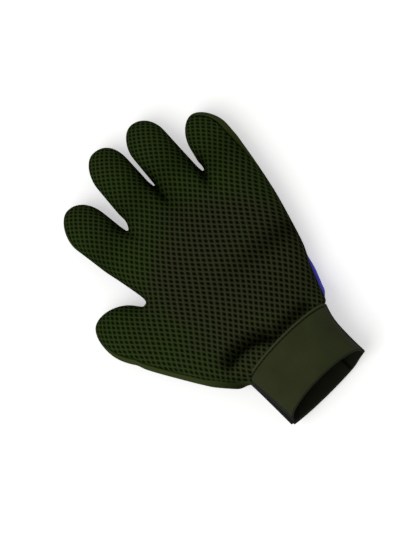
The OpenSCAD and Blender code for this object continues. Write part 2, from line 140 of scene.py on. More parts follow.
def tube_quads(rows: int, cols: int) -> Array:
    """Faces between rows of points that each close into a ring.

    Args:
        rows: how many rings.
        cols: points of a ring.

    Returns:
        Four point numbers to a face.
    """
    r, c = np.meshgrid(np.arange(rows - 1), np.arange(cols), indexing="ij")
    after = (c + 1) % cols
    corners = [r * cols + c, (r + 1) * cols + c, (r + 1) * cols + after, r * cols + after]
    return np.stack(corners, axis=-1).reshape(-1, 4)


def repeated(faces: Array, count: int, stride: int) -> Array:
    """Faces of a number of copies of a shape, whose points follow each other at a stride."""
    starts = stride * np.arange(count)
    return (faces[None] + starts[:, None, None]).reshape(-1, faces.shape[1])


def settle(piece: bpy.types.Object, body: str, *nodes: str) -> None:
    """Let a piece ride on a body in place of the frame's nodes."""
    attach(piece, body)
    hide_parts(*nodes)


def linear(hex_colour: str) -> tuple[float, ...]:
    """Turn an sRGB hex colour to linear red, green, blue and an alpha of 1.

    Args:
        hex_colour: six hex digits.

    Returns:
        Four values from 0 to 1.
    """
    parts = np.array([int(hex_colour[i : i + 2], 16) for i in (0, 2, 4)]) / 255.0
    values = np.where(parts <= 0.04045, parts / 12.92, ((parts + 0.055) / 1.055) ** 2.4)
    return (*values.tolist(), 1.0)


def feed(tree: bpy.types.NodeTree, node: bpy.types.Node, inputs: dict[Any, Any]) -> None:
    """Set or link a node's inputs.

    Args:
        tree: the tree that the node is in.
        node: the node.
        inputs: a value, an sRGB hex colour or another node's output, for each input.
    """
    for key, value in inputs.items():
        if isinstance(value, Socket):
            tree.links.new(value, node.inputs[key])
        else:
            node.inputs[key].default_value = linear(value) if isinstance(value, str) else value


def add_node(
    tree: bpy.types.NodeTree, kind: str, inputs: Inputs = (), out: int | str = 0, **settings: Any
) -> Socket:
    """Add a shader node with its settings and links.

    Args:
        tree: the material's or the world's node tree.
        kind: the node's type name without its prefix.
        inputs: what feeds the inputs, in the node's order or by their names or numbers.
        out: which output is wanted.
        settings: the node's own properties.

    Returns:
        The wanted output.
    """
    node = tree.nodes.new("ShaderNode" + kind)
    for key, value in settings.items():
        setattr(node, key, value)
    feed(tree, node, inputs if isinstance(inputs, dict) else dict(enumerate(inputs)))
    return node.outputs[out]


@dataclass(frozen=True)
class Finish:
    """What every finish shares: a name, a slot of the record, its gloss and one material."""

    name: ClassVar[str] = ""
    slot: ClassVar[Slot] = Slot.MESH
    rough: float = 0.9
    shine: float = 0.0

    @staticmethod
    def cloth_place(add: AddNode) -> Socket:
        """Place on the flat cloth, in millimetres."""
        place = add("UVMap", uv_map="cloth")
        return add("VectorMath", {0: place, "Scale": 1.0 / MM}, operation="SCALE")

    @staticmethod
    def solid_place(add: AddNode) -> Socket:
        """Place in the object, in millimetres."""
        place = add("TexCoord", out="Object")
        return add("VectorMath", {0: place, "Scale": 1.0 / MM}, operation="SCALE")

    @staticmethod
    def thread_wave(add: AddNode, place: Socket, axis: int, pitch: float) -> Socket:
        """Wave of threads that lie side by side: a sine along one axis of a place.

        Args:
            add: adds a node to the material.
            place: the place in millimetres.
            axis: 0 for x, 1 for y.
            pitch: distance between two threads.

        Returns:
            The sine, from -1 to 1.
        """
        along = add("SeparateXYZ", (place,), axis)
        phase = add("Math", (along, 2.0 * math.pi / pitch), operation="MULTIPLY")
        return add("Math", (phase,), operation="SINE")

    def paint(self, add: AddNode) -> dict[str, Any]:
        """Add the nodes of the finish's pattern and return the shader's inputs."""
        raise NotImplementedError

    def material(self) -> bpy.types.Material:
        """Return the finish's material, made on the first call.

        Returns:
            The material.
        """
        found = bpy.data.materials.get(self.name)
        if found is None:
            found = bpy.data.materials.new(self.name)
            found.use_nodes = True
            tree = found.node_tree
            even = {"Roughness": self.rough, "Specular IOR Level": self.shine}
            feed(tree, tree.nodes["Principled BSDF"], even | self.paint(partial(add_node, tree)))
        return found


@dataclass(frozen=True)
class AirMesh(Finish):
    """Knitted polyester air mesh: matt yarn round staggered oval holes that read as dark dots.

    A plain cloth strip runs along the edge where the mark 'from_seam' is below zero, with a
    painted shadow of the seam's groove between them where the mark 'crisp' is high. The yarn is
    greener on the fingers and browner where the mark 'warm' is high. Where the painted-shade mark
    is high the colour is darkened: painted shade in the folds, creases and valleys.
    """

    name: ClassVar[str] = "knitted_polyester_air_mesh"
    slot: ClassVar[Slot] = Slot.MESH
    rough: float = 0.92
    yarn: str = "33411f"
    yarn_warm: str = "373a26"
    hole: str = "0d1602"
    hole_warm: str = "0a0c01"
    strip: str = "3c4724"
    # Colour of the painted shadow in the seam's groove
    groove: str = "080a02"
    step_a: Pair = (2.46, -3.14)
    step_b: Pair = (2.06, 2.72)
    hole_lean: float = 0.06
    hole_corner: float = 0.42
    hole_edge: Pair = (0.17, 0.5)
    yarn_gauge: float = 0.55
    yarn_detail: float = 3.0
    speckle_span: Pair = (0.25, 0.75)
    speckle: Pair = (0.72, 1.25)
    tint_size: float = 34.0
    tint_sway: float = 1.4
    seam_span: Pair = (-0.25, 0.25)
    groove_span: Pair = (0.09, 0.72)
    # Share of the colour that the painted shade takes away at its darkest
    painted_shade_strength: float = 0.78
    loop_height: float = 0.35
    relief_strength: float = 0.75
    relief_depth: float = 0.9

    def lattice(self, add: AddNode, flat: Socket) -> Socket:
        """Draw the lattice of holes on the cloth's flat place.

        A place is counted in lattice steps, and the rests of both counts run from -0.5 to 0.5
        over a hole. Each rest takes a share of the other, which leans the hole, and the larger
        of the two, with a rounded corner, is the reach from the hole's middle.

        Args:
            add: adds a node to the material.
            flat: the place.

        Returns:
            A number from 0 in a hole to 1 on the yarn.
        """
        (ax, ay), (bx, by) = self.step_a, self.step_b
        turn = ax * by - ay * bx
        rests = []
        for row in ((by / turn, -bx / turn, 0.0), (-ay / turn, ax / turn, 0.0)):
            count = add("VectorMath", (flat, row), "Value", operation="DOT_PRODUCT")
            rests.append(add("Math", (count, 0.5, -0.5), operation="WRAP"))
        sides = []
        for one, other in (rests, rests[::-1]):
            leant = add("Math", (other, self.hole_lean, one), operation="MULTIPLY_ADD")
            sides.append(add("Math", (leant,), operation="ABSOLUTE"))
        reach = add("Math", (*sides, self.hole_corner), operation="SMOOTH_MAX")
        return add("MapRange", (reach, *self.hole_edge), **EASED)

    def paint(self, add: AddNode) -> dict[str, Any]:
        """Colour the net of holes, lay the plain strip and its groove's painted shadow over it, and paint
        shade into the folds.

        Args:
            add: adds a node to the material.

        Returns:
            The shader's inputs.
        """
        warmth, run, crisp, painted_shade = (
            add("Attribute", out="Fac", attribute_name=mark)
            for mark in ("warm", "from_seam", "crisp", "painted_shade")
        )
        flat = self.cloth_place(add)
        yarn = self.lattice(add, flat)
        knit = {"Vector": flat, "Scale": 1.0 / self.yarn_gauge, "Detail": self.yarn_detail}
        loops = add("TexNoise", knit)
        speckle = add("MapRange", (loops, *self.speckle_span, *self.speckle))
        tint = add("TexNoise", {"Vector": flat, "Scale": 1.0 / self.tint_size})
        sway = add("Math", (tint, self.tint_sway, -0.5 * self.tint_sway), operation="MULTIPLY_ADD")
        warm = add("Math", (warmth, sway), operation="ADD", use_clamp=True)
        yarn_tone = add("Mix", {0: warm, MIX_A: self.yarn, MIX_B: self.yarn_warm}, **COLOURS)
        hole_tone = add("Mix", {0: warm, MIX_A: self.hole, MIX_B: self.hole_warm}, **COLOURS)
        fibres = add("VectorMath", {0: yarn_tone, "Scale": speckle}, operation="SCALE")
        net = add("Mix", {0: yarn, MIX_A: hole_tone, MIX_B: fibres}, **COLOURS)
        meshed = add("MapRange", (run, *self.seam_span), **EASED)
        strip = add("VectorMath", {0: linear(self.strip)[:3], "Scale": speckle}, operation="SCALE")
        both = add("Mix", {0: meshed, MIX_A: strip, MIX_B: net}, **COLOURS)
        # Painted shadow of the seam's groove: the colour goes dark near the seam where the groove is
        # crisp
        gap = add("Math", (run,), operation="ABSOLUTE")
        beside = add("MapRange", (gap, *self.groove_span), **EASED)
        blurred = add("Math", (1.0, crisp), operation="SUBTRACT")
        clear = add("Math", (beside, blurred), operation="MAXIMUM")
        sewn = add("Mix", {0: clear, MIX_A: self.groove, MIX_B: both}, **COLOURS)
        # Painted shade: the colour is darkened where the painted-shade mark is high
        shade = add("MapRange", (painted_shade, 0.0, 1.0, 1.0, 1.0 - self.painted_shade_strength))
        plain = add("Math", (1.0, meshed), operation="SUBTRACT")
        net_height = add("Math", (yarn, plain), operation="MAXIMUM")
        looped = add("Math", (loops, self.loop_height, net_height), operation="MULTIPLY_ADD")
        height = add("Math", (looped, clear), operation="MULTIPLY")
        bump = {"Height": height, "Strength": self.relief_strength, "Distance": self.relief_depth * MM}
        return {
            "Base Color": add("VectorMath", {0: sewn, "Scale": shade}, operation="SCALE"),
            "Normal": add("Bump", bump),
        }


@dataclass(frozen=True)
class PlainCloth(Finish):
    """Plain woven polyester: a fine over-and-under thread relief and an even matt dark tone.

    The real thread is near 0.3 mm; it is drawn three times as coarse so that it shows.
    """

    name: ClassVar[str] = "plain_woven_polyester"
    slot: ClassVar[Slot] = Slot.CLOTH
    shine: float = 0.12
    sheen: float = 0.02
    thread: str = "2b2c1c"
    shadow: str = "16170c"
    thread_pitch: float = 0.9
    wear_size: float = 11.0
    wear_detail: float = 3.0
    wear_share: float = 0.5
    relief_strength: float = 0.5
    relief_depth: float = 0.25

    def paint(self, add: AddNode) -> dict[str, Any]:
        """Cross two rows of threads; the product of their waves is high on every other crossing.

        Args:
            add: adds a node to the material.

        Returns:
            The shader's inputs.
        """
        flat = self.cloth_place(add)
        waves = [self.thread_wave(add, flat, axis, self.thread_pitch) for axis in (0, 1)]
        weave = add("Math", waves, operation="MULTIPLY")
        level = add("MapRange", (weave, -1.0, 1.0))
        worn = {"Vector": flat, "Scale": 1.0 / self.wear_size, "Detail": self.wear_detail}
        wear = add("TexNoise", worn)
        tone = add("Math", (wear, self.wear_share, level), operation="MULTIPLY_ADD")
        bump = {"Height": level, "Strength": self.relief_strength, "Distance": self.relief_depth * MM}
        return {
            "Base Color": add("Mix", {0: tone, MIX_A: self.shadow, MIX_B: self.thread}, **COLOURS),
            "Normal": add("Bump", bump),
            "Sheen Weight": self.sheen,
        }


@dataclass(frozen=True)
class MouldedSilicone(Finish):
    """Moulded silicone rubber: an even satin blue with a soft highlight and a faint mould grain."""

    name: ClassVar[str] = "moulded_silicone_rubber"
    slot: ClassVar[Slot] = Slot.SILICONE
    shine: float = 0.5
    ior: float = 1.41
    body: str = "3a30c6"
    worn: str = "4a45cc"
    cloud_size: float = 18.0
    grain_size: float = 0.8
    satin: Pair = (0.38, 0.58)
    relief_strength: float = 0.15
    relief_depth: float = 0.1

    def paint(self, add: AddNode) -> dict[str, Any]:
        """Mottle the colour over centimetres and roughen the surface with the mould's grain.

        Args:
            add: adds a node to the material.

        Returns:
            The shader's inputs.
        """
        place = self.solid_place(add)
        cloud = add("TexNoise", {"Vector": place, "Scale": 1.0 / self.cloud_size})
        grain = add("TexNoise", {"Vector": place, "Scale": 1.0 / self.grain_size})
        bump = {"Height": grain, "Strength": self.relief_strength, "Distance": self.relief_depth * MM}
        return {
            "Base Color": add("Mix", {0: cloud, MIX_A: self.body, MIX_B: self.worn}, **COLOURS),
            "Roughness": add("MapRange", (grain, 0.0, 1.0, *self.satin)),
            "Normal": add("Bump", bump),
            "IOR": self.ior,
        }


@dataclass(frozen=True)
class RibbedElastic(Finish):
    """Woven elastic: faint ribs round the wrist, dark sides, and painted shade underneath and at its rear
    edge.

    A lighter bead runs along the finger-side edge, with the painted shadow of the stitches' groove
    behind it. The mark 'from_front' is the distance from that edge in millimetres, and the other
    mark is how dark the cloth is, from its dark sides and from painted shade.
    """

    name: ClassVar[str] = "ribbed_woven_elastic"
    slot: ClassVar[Slot] = Slot.ELASTIC
    rough: float = 0.85
    shine: float = 0.12
    sheen: float = 0.02
    rib: str = "33391e"
    valley: str = "2c3119"
    # Colour of the dark sides and of the painted shade underneath and along the rear edge
    dark_edge_and_shade: str = "0a0b06"
    bead: str = "3a4024"
    # Colour of the painted shadow in the stitches' groove
    groove: str = "0f1208"
    rib_pitch: float = 1.4
    fuzz_stretch: Triple = (0.5, 1.2, 0.0)
    fuzz_size: float = 1.0
    fuzz_detail: float = 3.0
    fuzz_tone: float = 0.8
    fuzz_height: float = 0.5
    cloud_size: float = 16.0
    cloud_detail: float = 1.0
    cloud_span: Pair = (0.3, 0.7)
    cloud_lift: Pair = (0.9, 1.12)
    bead_edge: Pair = (1.3, 1.9)
    groove_at: float = 2.3
    groove_edge: Pair = (0.25, 0.75)
    groove_shade: float = 0.75
    relief_strength: float = 0.45
    relief_depth: float = 0.3

    def paint(self, add: AddNode) -> dict[str, Any]:
        """Run ribs on the place along the arm, then lay the bead, the groove's painted shadow, the dark
        sides and the painted shade over them.

        Args:
            add: adds a node to the material.

        Returns:
            The shader's inputs.
        """
        front, edge = (
            add("Attribute", out="Fac", attribute_name=mark) for mark in ("from_front", "dark_edge_and_shade")
        )
        flat = self.cloth_place(add)
        level = add("MapRange", (self.thread_wave(add, flat, 1, self.rib_pitch), -1.0, 1.0))
        drawn = add("VectorMath", (flat, self.fuzz_stretch), operation="MULTIPLY")
        hairs = {"Vector": drawn, "Scale": 1.0 / self.fuzz_size, "Detail": self.fuzz_detail}
        fuzz = add("TexNoise", hairs)
        stray = add("Math", (fuzz, self.fuzz_tone, -0.5 * self.fuzz_tone), operation="MULTIPLY_ADD")
        tone = add("Math", (stray, level), operation="ADD", use_clamp=True)
        ribs = add("Mix", {0: tone, MIX_A: self.valley, MIX_B: self.rib}, **COLOURS)
        clouds = {"Vector": flat, "Scale": 1.0 / self.cloud_size, "Detail": self.cloud_detail}
        lift = add("MapRange", (add("TexNoise", clouds), *self.cloud_span, *self.cloud_lift))
        woven = add("VectorMath", {0: ribs, "Scale": lift}, operation="SCALE")
        behind = add("MapRange", (front, *self.bead_edge))
        beaded = add("Mix", {0: behind, MIX_A: self.bead, MIX_B: woven}, **COLOURS)
        # Painted shadow of the stitches' groove, a little way in from the front edge
        off = add("Math", (front, self.groove_at), operation="SUBTRACT")
        away = add("Math", (off,), operation="ABSOLUTE")
        dark = add("MapRange", (away, *self.groove_edge, self.groove_shade, 0.0))
        stitched = add("Mix", {0: dark, MIX_A: beaded, MIX_B: self.groove}, **COLOURS)
        height = add("Math", (fuzz, self.fuzz_height, level), operation="MULTIPLY_ADD")
        bump = {"Height": height, "Strength": self.relief_strength, "Distance": self.relief_depth * MM}
        # The dark sides, and painted shade underneath and along the rear edge, go over everything
        return {
            "Base Color": add("Mix", {0: edge, MIX_A: stitched, MIX_B: self.dark_edge_and_shade}, **COLOURS),
            "Normal": add("Bump", bump),
            "Sheen Weight": self.sheen,
        }


@dataclass(frozen=True)
class NylonTape(Finish):
    """Loop side of a touch tape: tiny dark tufts on a woven ground."""

    name: ClassVar[str] = "nylon_loop_tape"
    slot: ClassVar[Slot] = Slot.LOOP
    rough: float = 0.8
    shine: float = 0.2
    tuft: str = "24261f"
    ground: str = "0c0d0a"
    tuft_pitch: float = 1.1
    tuft_edge: Pair = (0.15, 0.6)
    relief_strength: float = 0.8
    relief_depth: float = 0.4

    def paint(self, add: AddNode) -> dict[str, Any]:
        """Scatter one tuft to a cell: the distance to the nearest cell point lights its top.

        Args:
            add: adds a node to the material.

        Returns:
            The shader's inputs.
        """
        cells = {"Vector": self.cloth_place(add), "Scale": 1.0 / self.tuft_pitch}
        off = add("TexVoronoi", cells, "Distance")
        top = add("MapRange", (off, *self.tuft_edge, 1.0, 0.0))
        bump = {"Height": top, "Strength": self.relief_strength, "Distance": self.relief_depth * MM}
        return {
            "Base Color": add("Mix", {0: top, MIX_A: self.ground, MIX_B: self.tuft}, **COLOURS),
            "Normal": add("Bump", bump),
        }


@dataclass(frozen=True)
class NylonHooks(NylonTape):
    """Hook side of the touch tape: its tufts are coarser, lighter and taller than the loops."""

    name: ClassVar[str] = "nylon_hook_tape"
    slot: ClassVar[Slot] = Slot.HOOK
    tuft: str = "2c2e29"
    tuft_pitch: float = 1.6
    relief_depth: float = 0.6


@dataclass(frozen=True)
class SewingThread(Finish):
    """Bonded polyester sewing thread: near black, mottled with painted glints at its twist."""

    name: ClassVar[str] = "bonded_polyester_thread"
    slot: ClassVar[Slot] = Slot.ELASTIC
    rough: float = 0.7
    shine: float = 0.1
    strand: str = "0b0d06"
    # Colour of the painted glints on the twist
    gloss: str = "14170c"
    twist_pitch: float = 0.5

    def paint(self, add: AddNode) -> dict[str, Any]:
        """Mottle the strand with painted glints at the pitch of its twist."""
        twist = add("TexNoise", {"Vector": self.solid_place(add), "Scale": 1.0 / self.twist_pitch})
        return {"Base Color": add("Mix", {0: twist, MIX_A: self.strand, MIX_B: self.gloss}, **COLOURS)}


@dataclass
class Surface:
    """Points in millimetres with their faces, and what a finish reads on them."""

    points: Array
    faces: list[Array]
    cloth: Array | None = None
    marks: dict[str, Array] = field(default_factory=dict)

    def part(self, quads: Array) -> "Surface":
        """Return the surface of some faces, with only the points that they use.

        Args:
            quads: the faces' corners.

        Returns:
            The smaller surface.
        """
        used, number = np.unique(quads, return_inverse=True)
        cloth = None if self.cloth is None else self.cloth[used]
        marks = {key: values[used] for key, values in self.marks.items()}
        return Surface(self.points[used], [number.reshape(quads.shape)], cloth, marks)

    @staticmethod
    def joined(parts: list["Surface"]) -> "Surface":
        """Return one bare surface made of several that need not touch.

        Args:
            parts: the surfaces.

        Returns:
            Their points and faces.
        """
        starts = np.cumsum([0] + [len(part.points) for part in parts])
        faces = [f + start for part, start in zip(parts, starts) for f in part.faces]
        return Surface(np.concatenate([part.points for part in parts]), faces)

    def piece(self, name: str, finish: Finish) -> bpy.types.Object:
        """Make the Blender object of the surface.

        Args:
            name: the piece's name.
            finish: what covers it.

        Returns:
            The object, at the origin, with its place in its mesh.
        """
        mesh = bpy.data.meshes.new(name)
        corners = np.concatenate([f.ravel() for f in self.faces])
        sizes = np.concatenate([np.full(len(f), f.shape[1]) for f in self.faces])
        mesh.vertices.add(len(self.points))
        mesh.vertices.foreach_set("co", (self.points * MM).astype(np.float32).ravel())
        mesh.loops.add(len(corners))
        mesh.loops.foreach_set("vertex_index", corners.astype(np.int32))
        mesh.polygons.add(len(sizes))
        mesh.polygons.foreach_set("loop_start", (np.cumsum(sizes) - sizes).astype(np.int32))
        mesh.polygons.foreach_set("loop_total", sizes.astype(np.int32))
        mesh.polygons.foreach_set("use_smooth", np.ones(len(sizes), bool))
        if self.cloth is not None:
            layer = mesh.uv_layers.new(name="cloth")
            layer.data.foreach_set("uv", (self.cloth[corners] * MM).astype(np.float32).ravel())
        for key, values in self.marks.items():
            mark = mesh.attributes.new(key, "FLOAT", "POINT")
            mark.data.foreach_set("value", values.astype(np.float32))
        mesh.update(calc_edges=True)
        mesh.validate()
        made = bpy.data.objects.new(name, mesh)
        bpy.context.scene.collection.objects.link(made)
        made.data.materials.append(finish.material())
        log.info("%s: %d points, %d faces", name, len(self.points), len(sizes))
        return made


@dataclass(frozen=True)
class Flank:
    """One side of a finger: half widths at root and tip, the round end's power and its start."""

    root: float
    tip: float
    power: float
    start: float


@dataclass(frozen=True)
class Finger:
    """One finger: where it bends, which way it points in degrees, and its plan."""

    name: str
    root: Pair
    turn: float
    length: float
    tip_round: float
    left: Flank
    right: Flank
    fold_start: float
    reach: Pair = (-18.0, 18.0)
    fold_end: float = 9.5
    pad_margin: float = 4.5
    side_points: int = 4
    tip_points: int = 11

    @property
    def root_half(self) -> float:
        """Half the finger's width at its root."""
        return 0.5 * (self.left.root + self.right.root)

    @property
    def tip_half(self) -> float:
        """Half the finger's width where its straight sides would reach the tip."""
        return 0.5 * (self.left.tip + self.right.tip)

    def axes(self) -> tuple[Array, Array]:
        """Unit vectors along the finger and to its little-finger side."""
        a = math.radians(self.turn)
        return np.array([math.sin(a), math.cos(a)]), np.array([math.cos(a), -math.sin(a)])

    def local(self, plan: Array) -> tuple[Array, Array]:
        """Distances of plan points along the finger from its bend, and to its side."""
        away = plan - np.array(self.root)
        return tuple(away @ axis for axis in self.axes())

    def plan(self, s: Array | float, u: Array | float) -> Array:
        """Plan points at distances along the finger and to its side."""
        along, side = self.axes()
        return np.array(self.root) + np.multiply.outer(s, along) + np.multiply.outer(u, side)

    def within(self, u: Array, past: float, inset: float) -> Array:
        """Ease from 0 at a distance past the finger's sides at its root to 1 at an inset."""
        return smoothstep(np.abs(u), self.root_half + past, self.root_half - inset)

    def flank_line(self, flank: Flank, side: float) -> Array:
        """Outline of one side of the finger, from its root to the tip.

        The half width is a straight taper, times a rounded end (1 - t^p)^(1/p).

        Args:
            flank: the side.
            side: -1 for the thumb's side, 1 for the other.

        Returns:
            Plan points, closer together round the tip.
        """
        turn = np.linspace(0.0, QUARTER_TURN, self.tip_points)
        end = self.length - self.tip_round + self.tip_round * np.sin(turn)
        straight = np.linspace(flank.start, end[0], self.side_points + 1)[:-1]
        s = np.concatenate([straight, end])
        taper = flank.root + (flank.tip - flank.root) * np.clip(s / self.length, 0.0, 1.0)
        t = np.clip((s - self.length + self.tip_round) / self.tip_round, 0.0, 1.0)
        return self.plan(s, side * taper * (1.0 - t**flank.power) ** (1.0 / flank.power))

    def rim(self) -> Array:
        """Outline of the finger from its thumb-side root round the tip to its other root."""
        left, right = self.flank_line(self.left, -1.0), self.flank_line(self.right, 1.0)
        return np.concatenate([left, right[::-1][1:]])


FINGERS = (
    Finger(
        "thumb", root=(-67.5, 1.0), turn=-31.0, length=26.2, tip_round=22.0,
        left=Flank(root=19.0, tip=15.6, power=1.8, start=-8.0),
        right=Flank(root=19.7, tip=18.4, power=1.8, start=4.0),
        fold_start=-4.0, reach=(-24.0, 20.2),
    ),
    Finger(
        "index", root=(-37.0, 60.0), turn=-7.5, length=35.2, tip_round=21.0,
        left=Flank(root=15.7, tip=16.0, power=1.65, start=-12.0),
        right=Flank(root=14.9, tip=15.7, power=2.1, start=-2.0),
        fold_start=-6.4,
    ),
    Finger(
        "middle", root=(-2.0, 69.0), turn=1.5, length=42.0, tip_round=20.0,
        left=Flank(root=15.0, tip=12.6, power=1.9, start=-9.0),
        right=Flank(root=14.7, tip=15.4, power=2.4, start=1.0),
        fold_start=-4.8,
    ),
    Finger(
        "ring", root=(29.3, 69.0), turn=2.5, length=37.2, tip_round=18.0,
        left=Flank(root=14.6, tip=12.7, power=1.85, start=1.0),
        right=Flank(root=14.8, tip=15.1, power=2.05, start=-8.0),
        fold_start=-5.6,
    ),
    Finger(
        "little", root=(60.7, 51.0), turn=9.5, length=30.6, tip_round=19.0,
        left=Flank(root=15.1, tip=13.0, power=1.95, start=1.0),
        right=Flank(root=16.8, tip=14.2, power=1.75, start=-12.0),
        fold_start=-7.4,
    ),
)


@dataclass
class Outline:
    """Plan of the whole glove at its side seam, as one closed smooth line."""

    wrist_half: float = 33.9
    wrist_sway: float = 2.2
    wrist_places: tuple[float, ...] = (-112.0, -98.0, -88.0, -81.0)
    thumb_edge: Pairs = (
        (-35.0, -82.6), (-42.8, -78.6), (-52.8, -64.3), (-63.0, -47.6), (-76.3, -24.0),
    )
    thumb_web: Pairs = ((-47.6, 8.0), (-45.2, 12.6), (-46.6, 23.5), (-48.9, 35.8))
    index_web: Pairs = ((-20.5, 54.6),)
    middle_web: Pairs = ((13.8, 62.6),)
    ring_web: Pairs = ((43.4, 51.5), (44.2, 46.4), (45.8, 50.0))
    little_edge: Pairs = (
        (73.6, 27.0), (70.4, 11.0), (66.5, -4.9), (57.4, -34.8),
        (51.0, -48.4), (45.2, -62.7), (42.6, -71.0), (40.2, -78.2),
    )
    span_points: int = 24
    spacing: float = 0.9
    softness: float = 0.9

    def knots(self) -> Array:
        """Points in order round the glove, clockwise from the wrist on the thumb's side.

        Returns:
            The points; the wrist's last place is left out on the thumb's side.
        """
        y = np.array(self.wrist_places)
        left, right = self.wrist_sway - self.wrist_half, self.wrist_sway + self.wrist_half
        after = (self.thumb_web, self.index_web, self.middle_web, self.ring_web, self.little_edge)
        parts = [np.column_stack([np.full(len(y) - 1, left), y[:-1]]), self.thumb_edge]
        for finger, edge in zip(FINGERS, after):
            parts += [finger.rim(), edge]
        return np.concatenate(parts + [np.column_stack([np.full(len(y), right), y[::-1]])])

    def line(self) -> Array:
        """Closed cubic through the knots, spaced evenly and softened by a bell along its length.

        Each span is the Catmull-Rom cubic of its four knots. The softening scales the line's
        frequencies by exp(-(2 pi f softness)^2 / 2).

        Returns:
            Plan points.
        """
        knots = self.knots()
        a, b, c, d = (np.roll(knots, shift, 0)[:, None] for shift in (1, 0, -1, -2))
        t = np.linspace(0.0, 1.0, self.span_points, endpoint=False)[None, :, None]
        square, cube = 2 * a - 5 * b + 4 * c - d, 3 * b - a - 3 * c + d
        dense = (0.5 * (2 * b + (c - a) * t + square * t**2 + cube * t**3)).reshape(-1, 2)
        closed = np.concatenate([dense, dense[:1]])
        run = run_along(closed)
        count = int(run[-1] / self.spacing)
        at = np.linspace(0.0, run[-1], count, endpoint=False)
        even = np.stack([np.interp(at, run, closed[:, k]) for k in (0, 1)], axis=1)
        rate = np.fft.rfftfreq(count, run[-1] / count)
        keep = np.exp(-0.5 * np.square(2.0 * math.pi * rate * self.softness))
        return np.fft.irfft(np.fft.rfft(even, axis=0) * keep[:, None], count, axis=0)


@dataclass
class Plan:
    """A regular grid cut to an outline, with its edge points moved onto the outline."""

    points: Array
    depth: Array
    quads: Array
    flat: Array
    foot: Array


@dataclass(frozen=True)
class Crease:
    """A straight valley in the back of the glove that runs out from a deep end to nothing.

    Its shade is painted shade in the knit's colour; one without depth is only a line of painted shade.
    """

    deep_end: Pair
    far_end: Pair
    depth: float
    half_width: float
    shade: float
    run_out: Pair = (1.0, -0.1)
    run_in: Pair = (-0.8, -0.2)

    def share(self, plan: Array) -> Array:
        """How much of the valley each point has: a bell across, easing in and out along it.

        Args:
            plan: points of the plan.

        Returns:
            One share for each point.
        """
        start, way = np.array(self.deep_end), np.subtract(self.far_end, self.deep_end)
        length = float(np.linalg.norm(way))
        way = way / length
        t = (plan - start) @ way / length
        q = (plan - start) @ np.array([way[1], -way[0]])
        return bell(q, self.half_width) * smoothstep(t, *self.run_out) * smoothstep(t, *self.run_in)


@dataclass(frozen=True)
class WristFold:
    """The arched fold beside the wrist at the base of the thumb, on an arc about a centre."""

    centre: Pair = (-26.0, -95.5)
    radius: float = 33.5
    fade_in: Pair = (28.0, 54.0)
    fade_out: Pair = (121.0, 100.0)
    depth: float = 7.0
    half: Pair = (4.2, 4.8)
    puff: float = 1.8
    puff_at: float = -8.5
    puff_half: float = 5.0
    # Painted shade across the fold: where its middle lies and how wide it spreads
    shade_at: float = -1.0
    shade_spread: float = 1.2

    def shape(self, plan: Array) -> tuple[Array, Array]:
        """Bell across the arc, steeper on the wrist's side, where a puff stands beside it.

        It eases out at both ends of the arc, at angles in degrees.

        Args:
            plan: points of the plan.

        Returns:
            The fold's depth, and its share of the darkest painted shade.
        """
        away = plan - np.array(self.centre)
        q = np.linalg.norm(away, axis=1) - self.radius
        turn = np.degrees(np.arctan2(away[:, 1], away[:, 0]))
        window = smoothstep(turn, *self.fade_in) * smoothstep(turn, *self.fade_out)
        half = np.where(q < 0.0, *self.half)
        dent = self.depth * bell(q, half) - self.puff * bell(q - self.puff_at, self.puff_half)
        return dent * window, bell(q - self.shade_at, self.shade_spread * half) * window


@dataclass(frozen=True)
class EdgeStrip:
    """A stretch of the plain cloth strip inside the edge: where it fades in, and its width."""

    x_span: Pair
    y_span: Pair
    width: float

    def share(self, foot: Array) -> Array:
        """How much of its width the strip has at points of the outline."""
        return smoothstep(foot[:, 0], *self.x_span) * smoothstep(foot[:, 1], *self.y_span)


